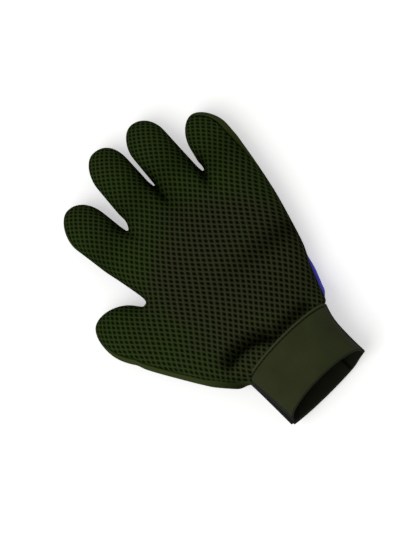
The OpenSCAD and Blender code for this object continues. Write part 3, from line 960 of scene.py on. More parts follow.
@dataclass
class GloveShell:
    """The sewn shell of mesh back and cloth palm, blown up from its plan like a filled glove.

    The back's height is the root of a screened membrane's height: the membrane is pinned at
    the outline and pulled to 1 over a set length, so wide parts rise more than narrow ones.

    Fields that end in _along or _across are the middle and half width of a bell. Those that
    end in _span, _rim, _in or _out are where an ease starts and where it is full.
    """

    # Grid of the plan, and how its points crowd to the edge
    step: float = 0.8
    grid_margin: float = 3.0
    batch: int = 1500
    edge_round: float = 9.0
    edge_inset: float = 0.02
    rim_reach: float = 2.0
    # Heights, and the membrane that the back's rise follows
    seam_z: float = 15.5
    palm_z: float = 6.5
    rise: float = 23.2
    pull: float = 12.0
    pinned_depth: float = 0.05
    least_share: float = 0.15
    rounds: int = 400
    residue: float = 1e-14
    known_depth: float = 1.3
    carried: int = 10
    # Swell and dips of the back, and the waves of its slack cloth
    crown: float = 5.4
    crown_span: Pair = (20.0, -80.0)
    crown_across: Pair = (8.0, 28.0)
    knuckle_fall: float = 4.0
    knuckle_along: Pair = (43.0, 14.0)
    knuckle_across: Pair = (4.0, 36.0)
    dip: float = 2.0
    dip_along: Pair = (-33.0, 14.0)
    dip_across: Pair = (20.0, 19.0)
    slack: float = 0.5
    slack_wave: Pair = (9.0, 11.0)
    slack_shift: float = 1.0
    slack_rim: Pair = (4.0, 12.0)
    fold_rim: Pair = (2.0, 8.0)
    crease_limit: float = 0.75
    # Rounded edge of the palm, oval of the wrist, and mesh drawn in beside the band with painted shade
    # over it
    palm_round: float = 8.0
    palm_power: float = 4.0
    cuff_end: float = -86.0
    wrist_z: float = 27.5
    wrist_half_h: float = 16.7
    wrist_span: Pair = (-60.0, -79.0)
    cuff_dip: float = 3.0
    cuff_dip_along: Pair = (-73.5, 5.0)
    cuff_dip_in: Pair = (-12.0, 0.0)
    cuff_dip_out: Pair = (36.0, 26.0)
    cuff_shade: float = 0.85
    # Crease under each finger's bend on the palm, and painted shade over the bend on the back
    bend_crease: float = 1.4
    bend_crease_half: float = 3.6
    bend_crease_edge: Pair = (3.0, 2.0)
    bend_shade: float = 0.28
    bend_shade_along: Pair = (-7.0, 13.0)
    bend_shade_edge: Pair = (4.0, 2.0)
    # Place and tone of the knit
    knit_middle: Pair = (8.0, -20.0)
    knit_tight: float = 230.0
    knit_wave: float = 15.0
    knit_phase: Pair = (0.6, 1.9)
    knit_sway: float = 1.6
    warm_span: Pair = (30.0, 80.0)
    warm_heel: float = 0.6
    # Plain strips inside the edge, the painted shadow of the groove beside them, and the seam where there
    # is none
    little_strip: EdgeStrip = EdgeStrip((58.0, 71.0), (10.0, 60.0), 4.6)
    thumb_strip: EdgeStrip = EdgeStrip((-40.0, -52.0), (26.0, -2.0), 2.4)
    heel_strip: EdgeStrip = EdgeStrip((-30.0, -40.0), (-40.0, -70.0), 3.2)
    tip_strip: EdgeStrip = EdgeStrip((-38.0, -53.0), (60.0, 82.0), 2.4)
    least_strip: float = 0.05
    faint_groove: float = 0.6
    bare_seam: float = 0.4
    # Valleys that run in from the webs, across the heel and along its edge, each darkened by painted
    # shade; those without depth are painted shade alone
    creases: tuple[Crease, ...] = (
        Crease((-20.6, 54.6), (-17.0, 36.0), 5.5, 3.6, 0.2),
        Crease((13.8, 62.6), (11.5, 38.0), 9.0, 2.9, 1.0),
        Crease((14.0, 50.0), (9.0, 22.0), 2.4, 11.0, 0.4),
        Crease((44.2, 46.4), (37.0, 25.0), 8.0, 3.4, 1.0),
        Crease((48.0, -25.0), (-22.0, -21.0), 0.8, 8.0, 0.58),
        Crease((-40.0, -81.0), (-62.0, -50.0), 0.0, 4.5, 1.0),
        Crease((12.6, 50.5), (11.2, 38.0), 0.0, 2.2, 1.0),
        Crease((41.6, 40.2), (38.4, 31.2), 0.0, 2.4, 1.0),
    )
    fold: WristFold = WristFold()
    outline: Outline = field(default_factory=Outline)

    def __post_init__(self) -> None:
        """Work out the grid, its depths inside the outline and the membrane."""
        self.line = self.outline.line()
        low = np.floor(self.line.min(0) - self.grid_margin)
        counts = np.ceil((self.line.max(0) + self.grid_margin - low) / self.step).astype(int)
        self.grid = grid_over(low, counts, self.step)
        self.shape = self.grid.shape[:2]
        self.depth, self.foot, self.run = self.nearest(self.grid.reshape(-1, 2))
        self.membrane = self.carry_on(self.solve(self.depth.reshape(self.shape)))

    def nearest(self, plan: Array) -> tuple[Array, Array, Array]:
        """Depth inside the outline, the nearest outline point and its length along the outline.

        A point is inside if a ray from it along +X crosses the outline an odd number of times.

        Args:
            plan: points to measure.

        Returns:
            Signed depth, positive inside; nearest points; lengths along the outline.
        """
        a = self.line
        edge = np.roll(a, -1, 0) - a
        size = np.linalg.norm(edge, axis=1)
        before = np.cumsum(size) - size
        depths, feet, runs = [], [], []
        for part in np.array_split(plan, max(1, len(plan) // self.batch)):
            away = part[:, None] - a[None]
            t = np.clip((away * edge).sum(-1) / np.square(size), 0.0, 1.0)
            gap = np.square(away - t[..., None] * edge).sum(-1)
            j = gap.argmin(1)
            rows = np.arange(len(part))
            share = t[rows, j]
            above = away[..., 1] > 0.0
            crossing = above != np.roll(above, -1, axis=1)
            left = away[..., 0] * edge[:, 1] - away[..., 1] * edge[:, 0]
            inside = (crossing & ((left < 0.0) == (edge[:, 1] > 0.0))).sum(1) % 2 == 1
            depths.append(np.sqrt(gap[rows, j]) * np.where(inside, 1.0, -1.0))
            feet.append(a[j] + share[:, None] * edge[j])
            runs.append(before[j] + share * size[j])
        return np.concatenate(depths), np.concatenate(feet), np.concatenate(runs)

    def solve(self, depth: Array) -> Array:
        """Screened membrane on the grid by conjugate gradients.

        Inside, the sum of differences to the four neighbours plus (step / pull)^2 (h - 1) is
        zero. A neighbour beyond the outline stands for h = 0 at the crossing, so its share is
        h / theta with theta the crossing's share of the step.

        Args:
            depth: signed depth of each grid point.

        Returns:
            The height h of each grid point.
        """
        inside = depth > self.pinned_depth
        screen = (self.step / self.pull) ** 2
        diagonal = np.full(depth.shape, screen)
        for axis, shift in NEIGHBOURS:
            fall = np.maximum(depth - np.roll(depth, shift, axis), TINY)
            theta = np.clip(depth / fall, self.least_share, 1.0)
            diagonal += np.where(np.roll(~inside, shift, axis), 1.0 / theta, 1.0)
        h = np.zeros(depth.shape)
        left = np.where(inside, screen, 0.0)
        way = left / diagonal
        power = (left * way).sum()
        for _ in range(self.rounds):
            pulled = diagonal * way
            for axis, shift in NEIGHBOURS:
                pulled = pulled - np.roll(way, shift, axis)
            pulled = np.where(inside, pulled, 0.0)
            pace = power / (way * pulled).sum()
            h += pace * way
            left -= pace * pulled
            smooth = left / diagonal
            fresh = (left * smooth).sum()
            if fresh < self.residue:
                break
            way = smooth + (fresh / power) * way
            power = fresh
        return h

    def carry_on(self, h: Array) -> Array:
        """Divide the membrane by its depth and carry the ratio on a little way past the outline.

        Args:
            h: the membrane's height at each grid point.

        Returns:
            h / depth, where a point near or past the outline has its neighbours' mean.
        """
        depth = self.depth.reshape(self.shape)
        known = depth > self.known_depth
        ratio = np.where(known, h / np.maximum(depth, self.known_depth), 0.0)
        for _ in range(self.carried):
            total = sum(np.roll(ratio * known, shift, axis) for axis, shift in NEIGHBOURS)
            count = sum(np.roll(known, shift, axis).astype(float) for axis, shift in NEIGHBOURS)
            grown = (~known) & (count > 0)
            ratio = np.where(grown, total / np.maximum(count, 1), ratio)
            known = known | grown
        return ratio

    def at(self, values: Array, plan: Array) -> Array:
        """Values of the grid at plan points, straight between its four nearest points.

        Args:
            values: one value for each grid point.
            plan: points of the plan.

        Returns:
            One value for each plan point.
        """
        place = (plan - self.grid[0, 0]) / self.step
        i = np.clip(np.floor(place).astype(int), 0, np.array(self.shape)[::-1] - 2)
        u, v = (place - i).T
        x, y = i.T
        near = values[y, x] * (1 - u) * (1 - v) + values[y, x + 1] * u * (1 - v)
        return near + values[y + 1, x] * (1 - u) * v + values[y + 1, x + 1] * u * v

    def cut(self) -> Plan:
        """Cut the grid to the glove and crowd its points to the edge.

        A cell stays if its middle is inside. An edge point goes to its nearest outline point.
        A point at depth d below the edge's radius R goes to R (1 - cos(pi d / 2 R)), so that
        the steep sides get as many points as the top. The cloth's flat place keeps the length
        that the side has, (pi / 2 - 1)(R - d) further out.

        Returns:
            The cut grid.
        """
        inside = cell_mean(self.depth.reshape(self.shape)) > 0.0
        used, quads, touched = kept_cells(inside & (cell_mean(self.grid)[..., 1] > self.cuff_end))
        plan, foot, d = self.grid.reshape(-1, 2)[used], self.foot[used], self.depth[used]
        rim = (touched < 4) & (d < self.rim_reach * self.step)
        d = np.where(rim, 0.0, np.maximum(d, self.edge_inset))
        rim = rim[:, None]
        out = unit(foot - plan)
        R = self.edge_round
        crowded = np.where(d < R, R * (1.0 - np.cos(QUARTER_TURN * np.minimum(d, R) / R)), d)
        placed = np.where(rim, foot, plan + out * (d - crowded)[:, None])
        longer = (QUARTER_TURN - 1.0) * np.maximum(R - d, 0.0)
        sideways = np.where(rim, self.outward(self.run[used]), out)
        flat = np.where(rim, foot, plan) + sideways * longer[:, None]
        return Plan(placed, crowded, quads, flat, foot)

    def outward(self, run: Array) -> Array:
        """Unit normals of the outline, pointing out, at lengths along it.

        Args:
            run: the lengths.

        Returns:
            One normal for each length.
        """
        edge = np.roll(self.line, -1, 0) - self.line
        size = np.linalg.norm(edge, axis=1)
        j = np.clip(np.searchsorted(np.cumsum(size), run), 0, len(size) - 1)
        return np.stack([-edge[j, 1], edge[j, 0]], axis=1) / size[j][:, None]

    def knit_place(self, flat: Array) -> Array:
        """Where the knit lies flat: it is drawn tighter away from the middle of the palm.

        Distance r from the middle counts as r + r^3 / (3 R^2), and slow waves bend the rows.

        Args:
            flat: flat places of the cloth.

        Returns:
            Flat places of the knit.
        """
        away = flat - np.array(self.knit_middle)
        r2 = np.square(away).sum(1, keepdims=True)
        wave = np.sin(flat[:, ::-1] / self.knit_wave + np.array(self.knit_phase))
        return away * (1.0 + r2 / (3.0 * self.knit_tight**2)) + self.knit_sway * wave

    def wrist_share(self, plan: Array) -> Array:
        """How far a point has gone over from the hand's section to the wrist's oval."""
        return smoothstep(plan[:, 1], *self.wrist_span)

    def oval(self, depth: Array) -> Array:
        """Height of the wrist's oval over its middle: h sqrt(t (2 - t)) at t half widths inside."""
        t = np.clip(depth / self.outline.wrist_half, 0.0, 1.0)
        return self.wrist_half_h * np.sqrt(t * (2.0 - t))

    def cuff_draw(self, plan: Array) -> Array:
        """How far the band draws the mesh in beside it: a bell along the arm, between two places.

        Args:
            plan: points of the plan.

        Returns:
            One share for each point.
        """
        x, y = plan.T
        middle, half = self.cuff_dip_along
        across = smoothstep(x, *self.cuff_dip_in) * smoothstep(x, *self.cuff_dip_out)
        return bell(y - middle, half) * across

    def painted_shade(self, plan: Array) -> Array:
        """How much painted shade darkens the knit: 1 in the fold's middle, less in the valleys and at the
        bends.

        Args:
            plan: points of the plan.

        Returns:
            One share for each point.
        """
        # Painted shade from the fold, the band's edge, the creases and the bends
        shade_shares = [self.fold.shape(plan)[1], self.cuff_shade * self.cuff_draw(plan)]
        shade_shares += [crease.shade * crease.share(plan) for crease in self.creases]
        middle, half = self.bend_shade_along
        for finger in FINGERS[1:]:
            s, u = finger.local(plan)
            across = finger.within(u, *self.bend_shade_edge)
            shade_shares.append(self.bend_shade * bell(s - middle, half) * across)
        return np.max(shade_shares, axis=0)

    def warm(self, plan: Array) -> Array:
        """How far the yarn's tone has gone over from the fingers' to the palm's.

        It goes by distance from the knit's middle, which counts for less to the heel.

        Args:
            plan: points of the plan.

        Returns:
            One share for each point.
        """
        away = plan - np.array(self.knit_middle)
        away[:, 1] *= np.where(away[:, 1] < 0.0, self.warm_heel, 1.0)
        return 1.0 - smoothstep(np.linalg.norm(away, axis=1), *self.warm_span)

    def swell(self, plan: Array) -> Array:
        """How much higher the back stands than its even rise.

        It climbs straight from the knuckles to the wrist over the hand's middle, and falls
        away in a bell where the fingers start and in another at the dip before the heel.

        Args:
            plan: points of the plan.

        Returns:
            One height for each point.
        """
        def patch(across: Pair, along: Pair) -> Array:
            """Bell in both directions, from the middle and half width of each."""
            return bell(plan[:, 0] - across[0], across[1]) * bell(plan[:, 1] - along[0], along[1])

        front, back = self.crown_span
        climb = self.crown * np.clip((front - plan[:, 1]) / (front - back), 0.0, 1.0)
        middle, half = self.crown_across
        fall = self.knuckle_fall * patch(self.knuckle_across, self.knuckle_along)
        dip = self.dip * patch(self.dip_across, self.dip_along)
        return climb * bell(plan[:, 0] - middle, half) - fall - dip

    def base_z(self, wrist: Array) -> Array:
        """Height of the side seam, which climbs to the oval's middle at the wrist."""
        return self.seam_z + (self.wrist_z - self.seam_z) * wrist

    def back_z(self, p: Array, d: Array) -> Array:
        """Height of the back: seam + rise sqrt(h), going over to the wrist's oval, less the folds.

        A slow wave of the slack cloth is added away from the edge.

        Args:
            p: points of the plan.
            d: their depths inside the outline.

        Returns:
            One height for each point.
        """
        h = np.maximum(self.at(self.membrane, p) * d, 0.0)
        w = self.wrist_share(p)
        top = (1.0 - w) * (self.rise + self.swell(p)) * np.sqrt(h) + w * self.oval(d)
        dent = self.fold.shape(p)[0] + self.cuff_dip * self.cuff_draw(p)
        top = top - dent * smoothstep(d, *self.fold_rim)
        for crease in self.creases:
            valley = crease.depth * crease.share(p) / np.maximum(top, 1.0)
            top = top * (1.0 - np.minimum(valley, self.crease_limit))
        long, wide = p[:, 0] / self.slack_wave[0] + self.slack_shift, p[:, 1] / self.slack_wave[1]
        soft = self.slack * np.sin(long) * np.sin(wide) * smoothstep(d, *self.slack_rim)
        return self.base_z(w) + top + soft * (1.0 - w)

    def palm_side_z(self, p: Array, d: Array) -> Array:
        """Height of the palm: flat, with a rounded edge (1 - (1 - t)^4)^(1/4) up to the seam.

        Under each bend the cloth is drawn up in a shallow crease.

        Args:
            p: points of the plan.
            d: their depths inside the outline.

        Returns:
            One height for each point.
        """
        w = self.wrist_share(p)
        t = np.clip(d / self.palm_round, 0.0, 1.0)
        rounded = (1.0 - (1.0 - t) ** self.palm_power) ** (1.0 / self.palm_power)
        z = self.base_z(w) - (1.0 - w) * (self.seam_z - self.palm_z) * rounded - w * self.oval(d)
        for finger in FINGERS:
            s, u = finger.local(p)
            near = bell(s, self.bend_crease_half) * finger.within(u, *self.bend_crease_edge)
            z = z + self.bend_crease * near * t
        return z

    def seam_marks(self, plan: Plan) -> dict[str, Array]:
        """Marks of the plain cloth strip that shows inside the edge, and of the painted shadow of the
        groove beside it.

        The strip widens along the little finger's outer edge, the index tip's and the thumb's
        outer edges and at the heel beside the wrist, where it goes over to the mesh without a
        groove. Elsewhere there is none, and the groove's painted shadow is faint.

        Args:
            plan: the cut grid.

        Returns:
            Distance in from the strip's inner edge, and how crisp the groove's painted shadow is.
        """
        strips = (self.little_strip, self.thumb_strip, self.heel_strip, self.tip_strip)
        shares = [strip.share(plan.foot) for strip in strips]
        width = np.max([strip.width * share for strip, share in zip(strips, shares)], axis=0)
        little, thumb, heel, tip = shares
        crisp = np.max([little, self.faint_groove * thumb * (1.0 - heel), tip], axis=0)
        plain = width > self.least_strip
        return {
            "from_seam": plan.depth + np.where(plain, -width, self.bare_seam),
            "crisp": np.where(plain, crisp, self.faint_groove),
        }

    def owner(self, middles: Array) -> Array:
        """Number of the finger whose pieces each cell goes to, or -1 for the hand.

        Between two fingers a cell goes with the one whose half width it is the fewer times off.

        Args:
            middles: plan points of the cells' middles.

        Returns:
            One number for each cell.
        """
        found = np.full(len(middles), -1)
        nearest = np.full(len(middles), np.inf)
        for k, finger in enumerate(FINGERS):
            s, u = finger.local(middles)
            off = np.abs(u) / np.where(u < 0.0, finger.left.root, finger.right.root)
            low, high = finger.reach
            mine = (s > finger.fold_start) & (u > low) & (u < high) & (off < nearest)
            found[mine] = k
            nearest[mine] = off[mine]
        return found

    def build(self) -> None:
        """Make the hand's and the fingers' mesh and cloth pieces."""
        plan = self.cut()
        p, quads = plan.points, plan.quads
        owner = self.owner(p[quads].mean(1))
        # Marks that the finishes read, among them the painted shade of folds, creases and bends
        marks = self.seam_marks(plan) | {"painted_shade": self.painted_shade(p), "warm": self.warm(p)}
        back_points = np.column_stack([p, self.back_z(p, plan.depth)])
        back = Surface(back_points, [quads], self.knit_place(plan.flat), marks)
        palm_points = np.column_stack([p, self.palm_side_z(p, plan.depth)])
        palm = Surface(palm_points, [quads[:, ::-1]], plan.flat)
        mesh, cloth = AirMesh(), PlainCloth()
        mine = quads[owner < 0]
        settle(back.part(mine).piece("hand_mesh", mesh), "hand", "back_mesh")
        settle(palm.part(mine[:, ::-1]).piece("hand_palm_cloth", cloth), "hand", "palm_fabric")
        for k, finger in enumerate(FINGERS):
            name, mine = finger.name, quads[owner == k]
            outer = back.part(mine).piece(f"{name}_mesh", mesh)
            self.bend(outer, finger, f"{name}_back", f"{name}_knuckle")
            inner = palm.part(mine[:, ::-1]).piece(f"{name}_palm_cloth", cloth)
            self.bend(inner, finger, f"{name}_palm_fabric")

    def bend(self, piece: bpy.types.Object, finger: Finger, *nodes: str) -> None:
        """Bake a piece's place into its mesh and hide the frame's nodes that it stands for.

        Args:
            piece: the piece.
            finger: its finger; not used.
            nodes: the frame's nodes that it stands for.
        """
        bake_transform(piece)
        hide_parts(*nodes)


@dataclass
class SiliconePads:
    """Moulded pads: thin plates with a full round edge, and staggered nubs with soft tips."""

    shell: GloveShell
    # Plates and their grid
    plate_t: float = 1.5
    nub_h: float = 5.0
    step: float = 0.85
    squeeze: float = 1.6
    edge_inset: float = 0.03
    slope_step: float = 0.05
    # Nubs: radius and height of the profile's rings from the foot, then their rows
    nub_foot: float = 2.0
    nub_rim: float = 2.0
    nub_profile: Pairs = ((2.45, 5.2), (2.0, 4.45), (1.62, 2.4), (1.22, 0.45), (0.85, 0.0))
    nub_sides: int = 10
    pitch: float = 7.6
    row: float = 6.8
    palm_rows: int = 11
    palm_cols: int = 10
    finger_pitch: float = 6.6
    finger_row: float = 5.6
    finger_spread: tuple[float, ...] = (-1.0, -0.5, 0.0, 0.5, 1.0)
    first_nub: float = 5.5
    # Outline of the palm pad and the corners of its grid
    corner: float = 8.0
    field_corners: Pairs = ((-28.0, -62.0), (36.8, -64.0), (43.2, -46.0))
    palm_low: Pair = (-62.0, -84.0)
    palm_high: Pair = (84.0, 74.0)
    lobe_base: float = -30.0
    lobe_inset: float = 12.0
    lobe_margin: float = 4.3
    lobe_blend: float = 2.5
    # Pads of the thumb's ball and of the fingers
    bend_half: float = 7.0
    pad_gap: float = 1.5
    ball_half: float = 10.0
    ball_run: float = 19.0
    ball_aside: float = -4.0
    ball_rows: int = 3
    ball_reach: float = 32.0
    tip_fit: float = 0.9
    root_corner: float = 4.0
    finger_reach: float = 6.0
    # Lip round the heel
    lip_t: float = 2.0
    lip_sink: float = 0.5
    lip_span: Pair = (-36.0, -79.0)
    lip_front_ease: float = 20.0
    lip_rear_ease: float = 9.0
    lip_top: float = 0.04
    lip_low: float = 0.6
    lip_rows: int = 15

    @staticmethod
    def soft_max(a: Array, b: Array, size: float) -> Array:
        """Larger of two distances with a rounded corner: max plus a parabola near equality."""
        near = np.maximum(size - np.abs(a - b), 0.0) / size
        return np.maximum(a, b) + 0.25 * size * near * near

    @staticmethod
    def bar(plan: Array, ends: Array, radius: float) -> Array:
        """Signed distance to a bar with round ends.

        Args:
            plan: points of the plan.
            ends: the middles of its two round ends.
            radius: half its width.

        Returns:
            One distance for each point, negative inside.
        """
        away, way = plan - ends[0], ends[1] - ends[0]
        t = np.clip(away @ way / (way @ way), 0.0, 1.0)
        return np.linalg.norm(away - t[:, None] * way, axis=1) - radius

    @property
    def root_gap(self) -> float:
        """How far a pad keeps off the line that its finger bends on."""
        return self.bend_half + self.pad_gap

    def palm_field(self, plan: Array) -> Array:
        """Signed distance to the palm pad: a rounded field of corners with a lobe to each finger.

        Args:
            plan: points of the plan.

        Returns:
            One distance for each point, negative inside.
        """
        _, index, _, _, little = FINGERS
        left = index.plan(self.lobe_base, self.lobe_inset - index.root_half)
        right = little.plan(self.lobe_base, little.root_half - self.lobe_inset)
        corners = np.concatenate([self.field_corners, [right, left]])
        edge = np.roll(corners, -1, 0) - corners
        away = plan[:, None] - corners[None]
        t = np.clip((away * edge).sum(-1) / np.square(edge).sum(-1), 0.0, 1.0)
        gap = np.linalg.norm(away - t[..., None] * edge, axis=-1).min(1)
        outside = (away[..., 0] * edge[:, 1] - away[..., 1] * edge[:, 0]).max(1) > 0.0
        best = np.where(outside, gap, -gap) - self.corner
        for finger in FINGERS[1:]:
            radius = finger.root_half - self.lobe_margin
            ends = finger.plan(np.array([self.lobe_base, -self.root_gap - radius]), np.zeros(2))
            best = -self.soft_max(-best, -self.bar(plan, ends, radius), self.lobe_blend)
        return best

    def ball_field(self, plan: Array) -> Array:
        """Signed distance to the bar-shaped pad under the ball of the thumb."""
        s = -self.root_gap - self.ball_half - np.array([0.0, self.ball_run])
        return self.bar(plan, FINGERS[0].plan(s, np.full(2, self.ball_aside)), self.ball_half)

    def finger_field(self, finger: Finger) -> Measure:
        """Return the signed distance to a finger's pad: a taper with a round end, cut at its root.

        Args:
            finger: the finger.

        Returns:
            A function of plan points, negative inside.
        """
        start = self.root_gap
        tip = finger.tip_half * self.tip_fit - finger.pad_margin
        root = finger.root_half - finger.pad_margin
        end = finger.length - finger.pad_margin - tip

        def measure(plan: Array) -> Array:
            """Signed distance to this finger's pad.

            Args:
                plan: points of the plan.

            Returns:
                One distance for each point, negative inside.
            """
            s, u = finger.local(plan)
            half = root + (tip - root) * np.clip((s - start) / (end - start), 0.0, 1.0)
            body = np.where(s > end, np.hypot(np.maximum(s - end, 0.0), u) - tip, np.abs(u) - half)
            return self.soft_max(body, start - s, self.root_corner)

        return measure

    def inward(self, distance: Measure, plan: Array) -> Array:
        """Unit vectors down a signed distance's slope, from differences over a short step."""
        ways = self.slope_step * np.eye(2)
        return unit(np.stack([distance(plan - way) - distance(plan + way) for way in ways], axis=1))

    def plate(self, distance: Measure, low: Array, high: Array) -> Surface:
        """Plate of a plan given by a signed distance, with a full round edge.

        The grid is cut to the plan, and edge points walk down the distance's slope onto its
        edge. Depth d is crowded to r (1 - cos(pi d / 2 s)) within s of the edge, where the
        upper and lower faces are r sqrt(1 - (1 - d / r)^2) from the middle plane.

        Args:
            distance: signed distance of plan points, negative inside.
            low: lowest corner of the grid.
            high: highest corner of the grid.

        Returns:
            The closed surface.
        """
        grid = grid_over(low, np.ceil((high - low) / self.step).astype(int) + 1, self.step)
        flat = grid.reshape(-1, 2)
        used, quads, touched = kept_cells(cell_mean(distance(flat).reshape(grid.shape[:2])) < 0.0)
        plan, rim = flat[used], touched < 4
        r, s = 0.5 * self.plate_t, self.squeeze
        d = np.where(rim, 0.0, np.maximum(-distance(plan), self.edge_inset))
        near = r * (1.0 - np.cos(QUARTER_TURN * np.minimum(d, s) / s))
        further = np.where(d < 2 * s, r + (d - s) * (2 * s - r) / s, d)
        crowded = np.where(d < s, near, further)
        plan = plan + self.inward(distance, plan) * (crowded + distance(plan))[:, None]
        plan = plan + self.inward(distance, plan) * np.where(rim, distance(plan), 0.0)[:, None]
        half = r * np.sqrt(1.0 - np.square(1.0 - np.minimum(crowded / r, 1.0)))
        middle = self.nub_h + r
        upper = np.where(rim, np.arange(len(plan)), len(plan) + np.cumsum(~rim) - 1)
        below, above = (np.column_stack([plan, middle + side * half]) for side in (-1.0, 1.0))
        return Surface(np.concatenate([below, above[~rim]]), [quads[:, ::-1], upper[quads]])

    def nubs(self, centres: Array) -> Surface:
        """Nubs turned from one profile: a flared foot, a taper and a soft flat tip.

        Args:
            centres: plan points of the nubs.

        Returns:
            One surface with every nub, open only inside the plate.
        """
        radius, height = np.array(self.nub_profile).T
        n = self.nub_sides
        side = np.arange(n)
        angle = 2.0 * math.pi * side / n
        x, y = np.outer(radius, np.cos(angle)), np.outer(radius, np.sin(angle))
        rings = np.stack([x, y, np.repeat(height[:, None], n, axis=1)], axis=-1).reshape(-1, 3)
        one = np.concatenate([rings, np.zeros((1, 3))])
        last = len(rings) - n
        cap = np.stack([last + side, np.full(n, len(rings)), last + (side + 1) % n], axis=1)
        shapes = (tube_quads(len(radius), n), cap)
        where = np.column_stack([centres, np.zeros(len(centres))])
        points = (where[:, None] + one[None]).reshape(-1, 3)
        return Surface(points, [repeated(faces, len(centres), len(one)) for faces in shapes])

    def heel_lip(self) -> Surface:
        """Lip that wraps up from the pad round the heel's outer edge to the seam.

        Its section follows the palm's rounded edge, which lies R (1 - sqrt(cos b)) inside the
        outline for b up to a quarter turn. It stands off the cloth by its thickness, which is
        rounded off at both edges, and at both ends it gets low and sinks into the cloth.

        Returns:
            The closed surface.
        """
        shell, line = self.shell, self.shell.line
        front, rear = self.lip_span
        edge = np.roll(line, -1, 0) - np.roll(line, 1, 0)
        take = (line[:, 0] > 0.0) & (line[:, 1] < front) & (line[:, 1] > rear)
        path, out = line[take], unit(np.stack([-edge[:, 1], edge[:, 0]], axis=1))[take][:, None]
        fore = smoothstep(path[:, 1], front - self.lip_front_ease, front)
        tuck = np.maximum(fore, smoothstep(path[:, 1], rear + self.lip_rear_ease, rear))[:, None]
        first = self.lip_top + self.lip_low * tuck
        turn = QUARTER_TURN * np.square(first + (1.0 - first) * np.linspace(0.0, 1.0, self.lip_rows))
        depth = shell.palm_round * (1.0 - np.sqrt(np.maximum(np.cos(turn), 0.0)))
        plan = path[:, None] - out * depth[..., None]
        z = shell.palm_side_z(plan.reshape(-1, 2), depth.ravel()).reshape(depth.shape)
        steps = [np.diff(values, prepend=values[:, :1]) for values in (depth, z)]
        run = np.cumsum(np.hypot(*steps), axis=1)
        from_edge = np.minimum(run, run[:, -1:] - run) / self.lip_t
        thick = self.lip_t * np.sqrt(1.0 - np.square(1.0 - np.minimum(from_edge, 1.0)))
        outer = thick * (1.0 - tuck) - self.lip_sink * tuck
        slope = unit(np.stack([-np.gradient(z, axis=1), -np.gradient(depth, axis=1)], axis=-1))
        faces = []
        for stand in (outer, np.full_like(outer, -2.0 * self.lip_sink)):
            place = plan + out * (stand * slope[..., 0])[..., None]
            faces.append(np.concatenate([place, (z + stand * slope[..., 1])[..., None]], axis=-1))
        points = np.concatenate([faces[0], faces[1][:, ::-1]], axis=1)
        rows, cols = points.shape[:2]
        ends = np.array([np.arange(cols), (rows - 1) * cols + np.arange(cols)[::-1]])
        return Surface(points.reshape(-1, 3), [tube_quads(rows, cols), ends])

    def heel_rise(self, plan: Array) -> Array:
        """How far the palm cloth stands above its level part where the heel climbs to the wrist.

        Args:
            plan: points of the plan.

        Returns:
            One height for each point.
        """
        shell = self.shell
        depth = shell.at(shell.depth.reshape(shell.shape), plan)
        oval = shell.oval(np.maximum(depth, shell.palm_round))
        return shell.wrist_share(plan) * (shell.wrist_z - shell.palm_z - oval)

    def palm_centres(self) -> Array:
        """Staggered rows of nub centres that keep their rim clear of the pad's edge.

        Returns:
            Plan points.
        """
        rows = np.arange(-self.palm_rows, self.palm_rows + 1)
        cols = np.arange(-self.palm_cols, self.palm_cols + 1)
        r, c = np.meshgrid(rows, cols, indexing="ij")
        spots = np.stack([(c + 0.5 * (r % 2)) * self.pitch, r * self.row], axis=-1).reshape(-1, 2)
        return spots[self.palm_field(spots) < -self.nub_foot - self.nub_rim]

    def finger_centres(self, finger: Finger, first: float, rows: int, step: float, aside: float) -> Array:
        """Rows of three and two nubs in turn along a finger.

        Args:
            finger: the finger.
            first: place of the first row.
            rows: how many rows follow it.
            step: from a row to the next, signed.
            aside: place of the rows' middle to the finger's side.

        Returns:
            Plan points.
        """
        r, c = np.meshgrid(np.arange(rows + 1), np.array(self.finger_spread), indexing="ij")
        take = (c % 1.0 == 0.0) == (r % 2 == 0)
        return finger.plan(first + step * r[take], c[take] * self.finger_pitch + aside)

    def build(self) -> None:
        """Make every pad and let it ride on its body."""
        rubber = MouldedSilicone()
        palm = self.plate(self.palm_field, np.array(self.palm_low), np.array(self.palm_high))
        palm = Surface.joined([palm, self.nubs(self.palm_centres())])
        palm.points[:, 2] += self.heel_rise(palm.points[:, :2])
        palm = Surface.joined([palm, self.heel_lip()])
        settle(palm.piece("palm_nub_pad", rubber), "hand", "palm_pad")
        first = -self.root_gap - self.ball_half
        row = (first, self.ball_rows, -self.finger_row, self.ball_aside)
        spots = self.finger_centres(FINGERS[0], *row)
        middle = spots.mean(0)
        ball = self.plate(self.ball_field, middle - self.ball_reach, middle + self.ball_reach)
        ball = Surface.joined([ball, self.nubs(spots)])
        settle(ball.piece("thumb_ball_pad", rubber), "hand", "thumb_base_pad")
        for finger in FINGERS:
            distance, rim = self.finger_field(finger), finger.rim()
            plate = self.plate(distance, rim.min(0) - self.finger_reach, rim.max(0) + self.finger_reach)
            first = self.bend_half + self.first_nub
            room = finger.length - finger.pad_margin - self.nub_foot - first
            row = (first, int(room // self.finger_row), self.finger_row, 0.0)
            spots = self.finger_centres(finger, *row)
            spots = spots[distance(spots) < -self.nub_foot]
            pad = Surface.joined([plate, self.nubs(spots)])
            settle(pad.piece(f"{finger.name}_nub_pad", rubber), finger.name, f"{finger.name}_pad")


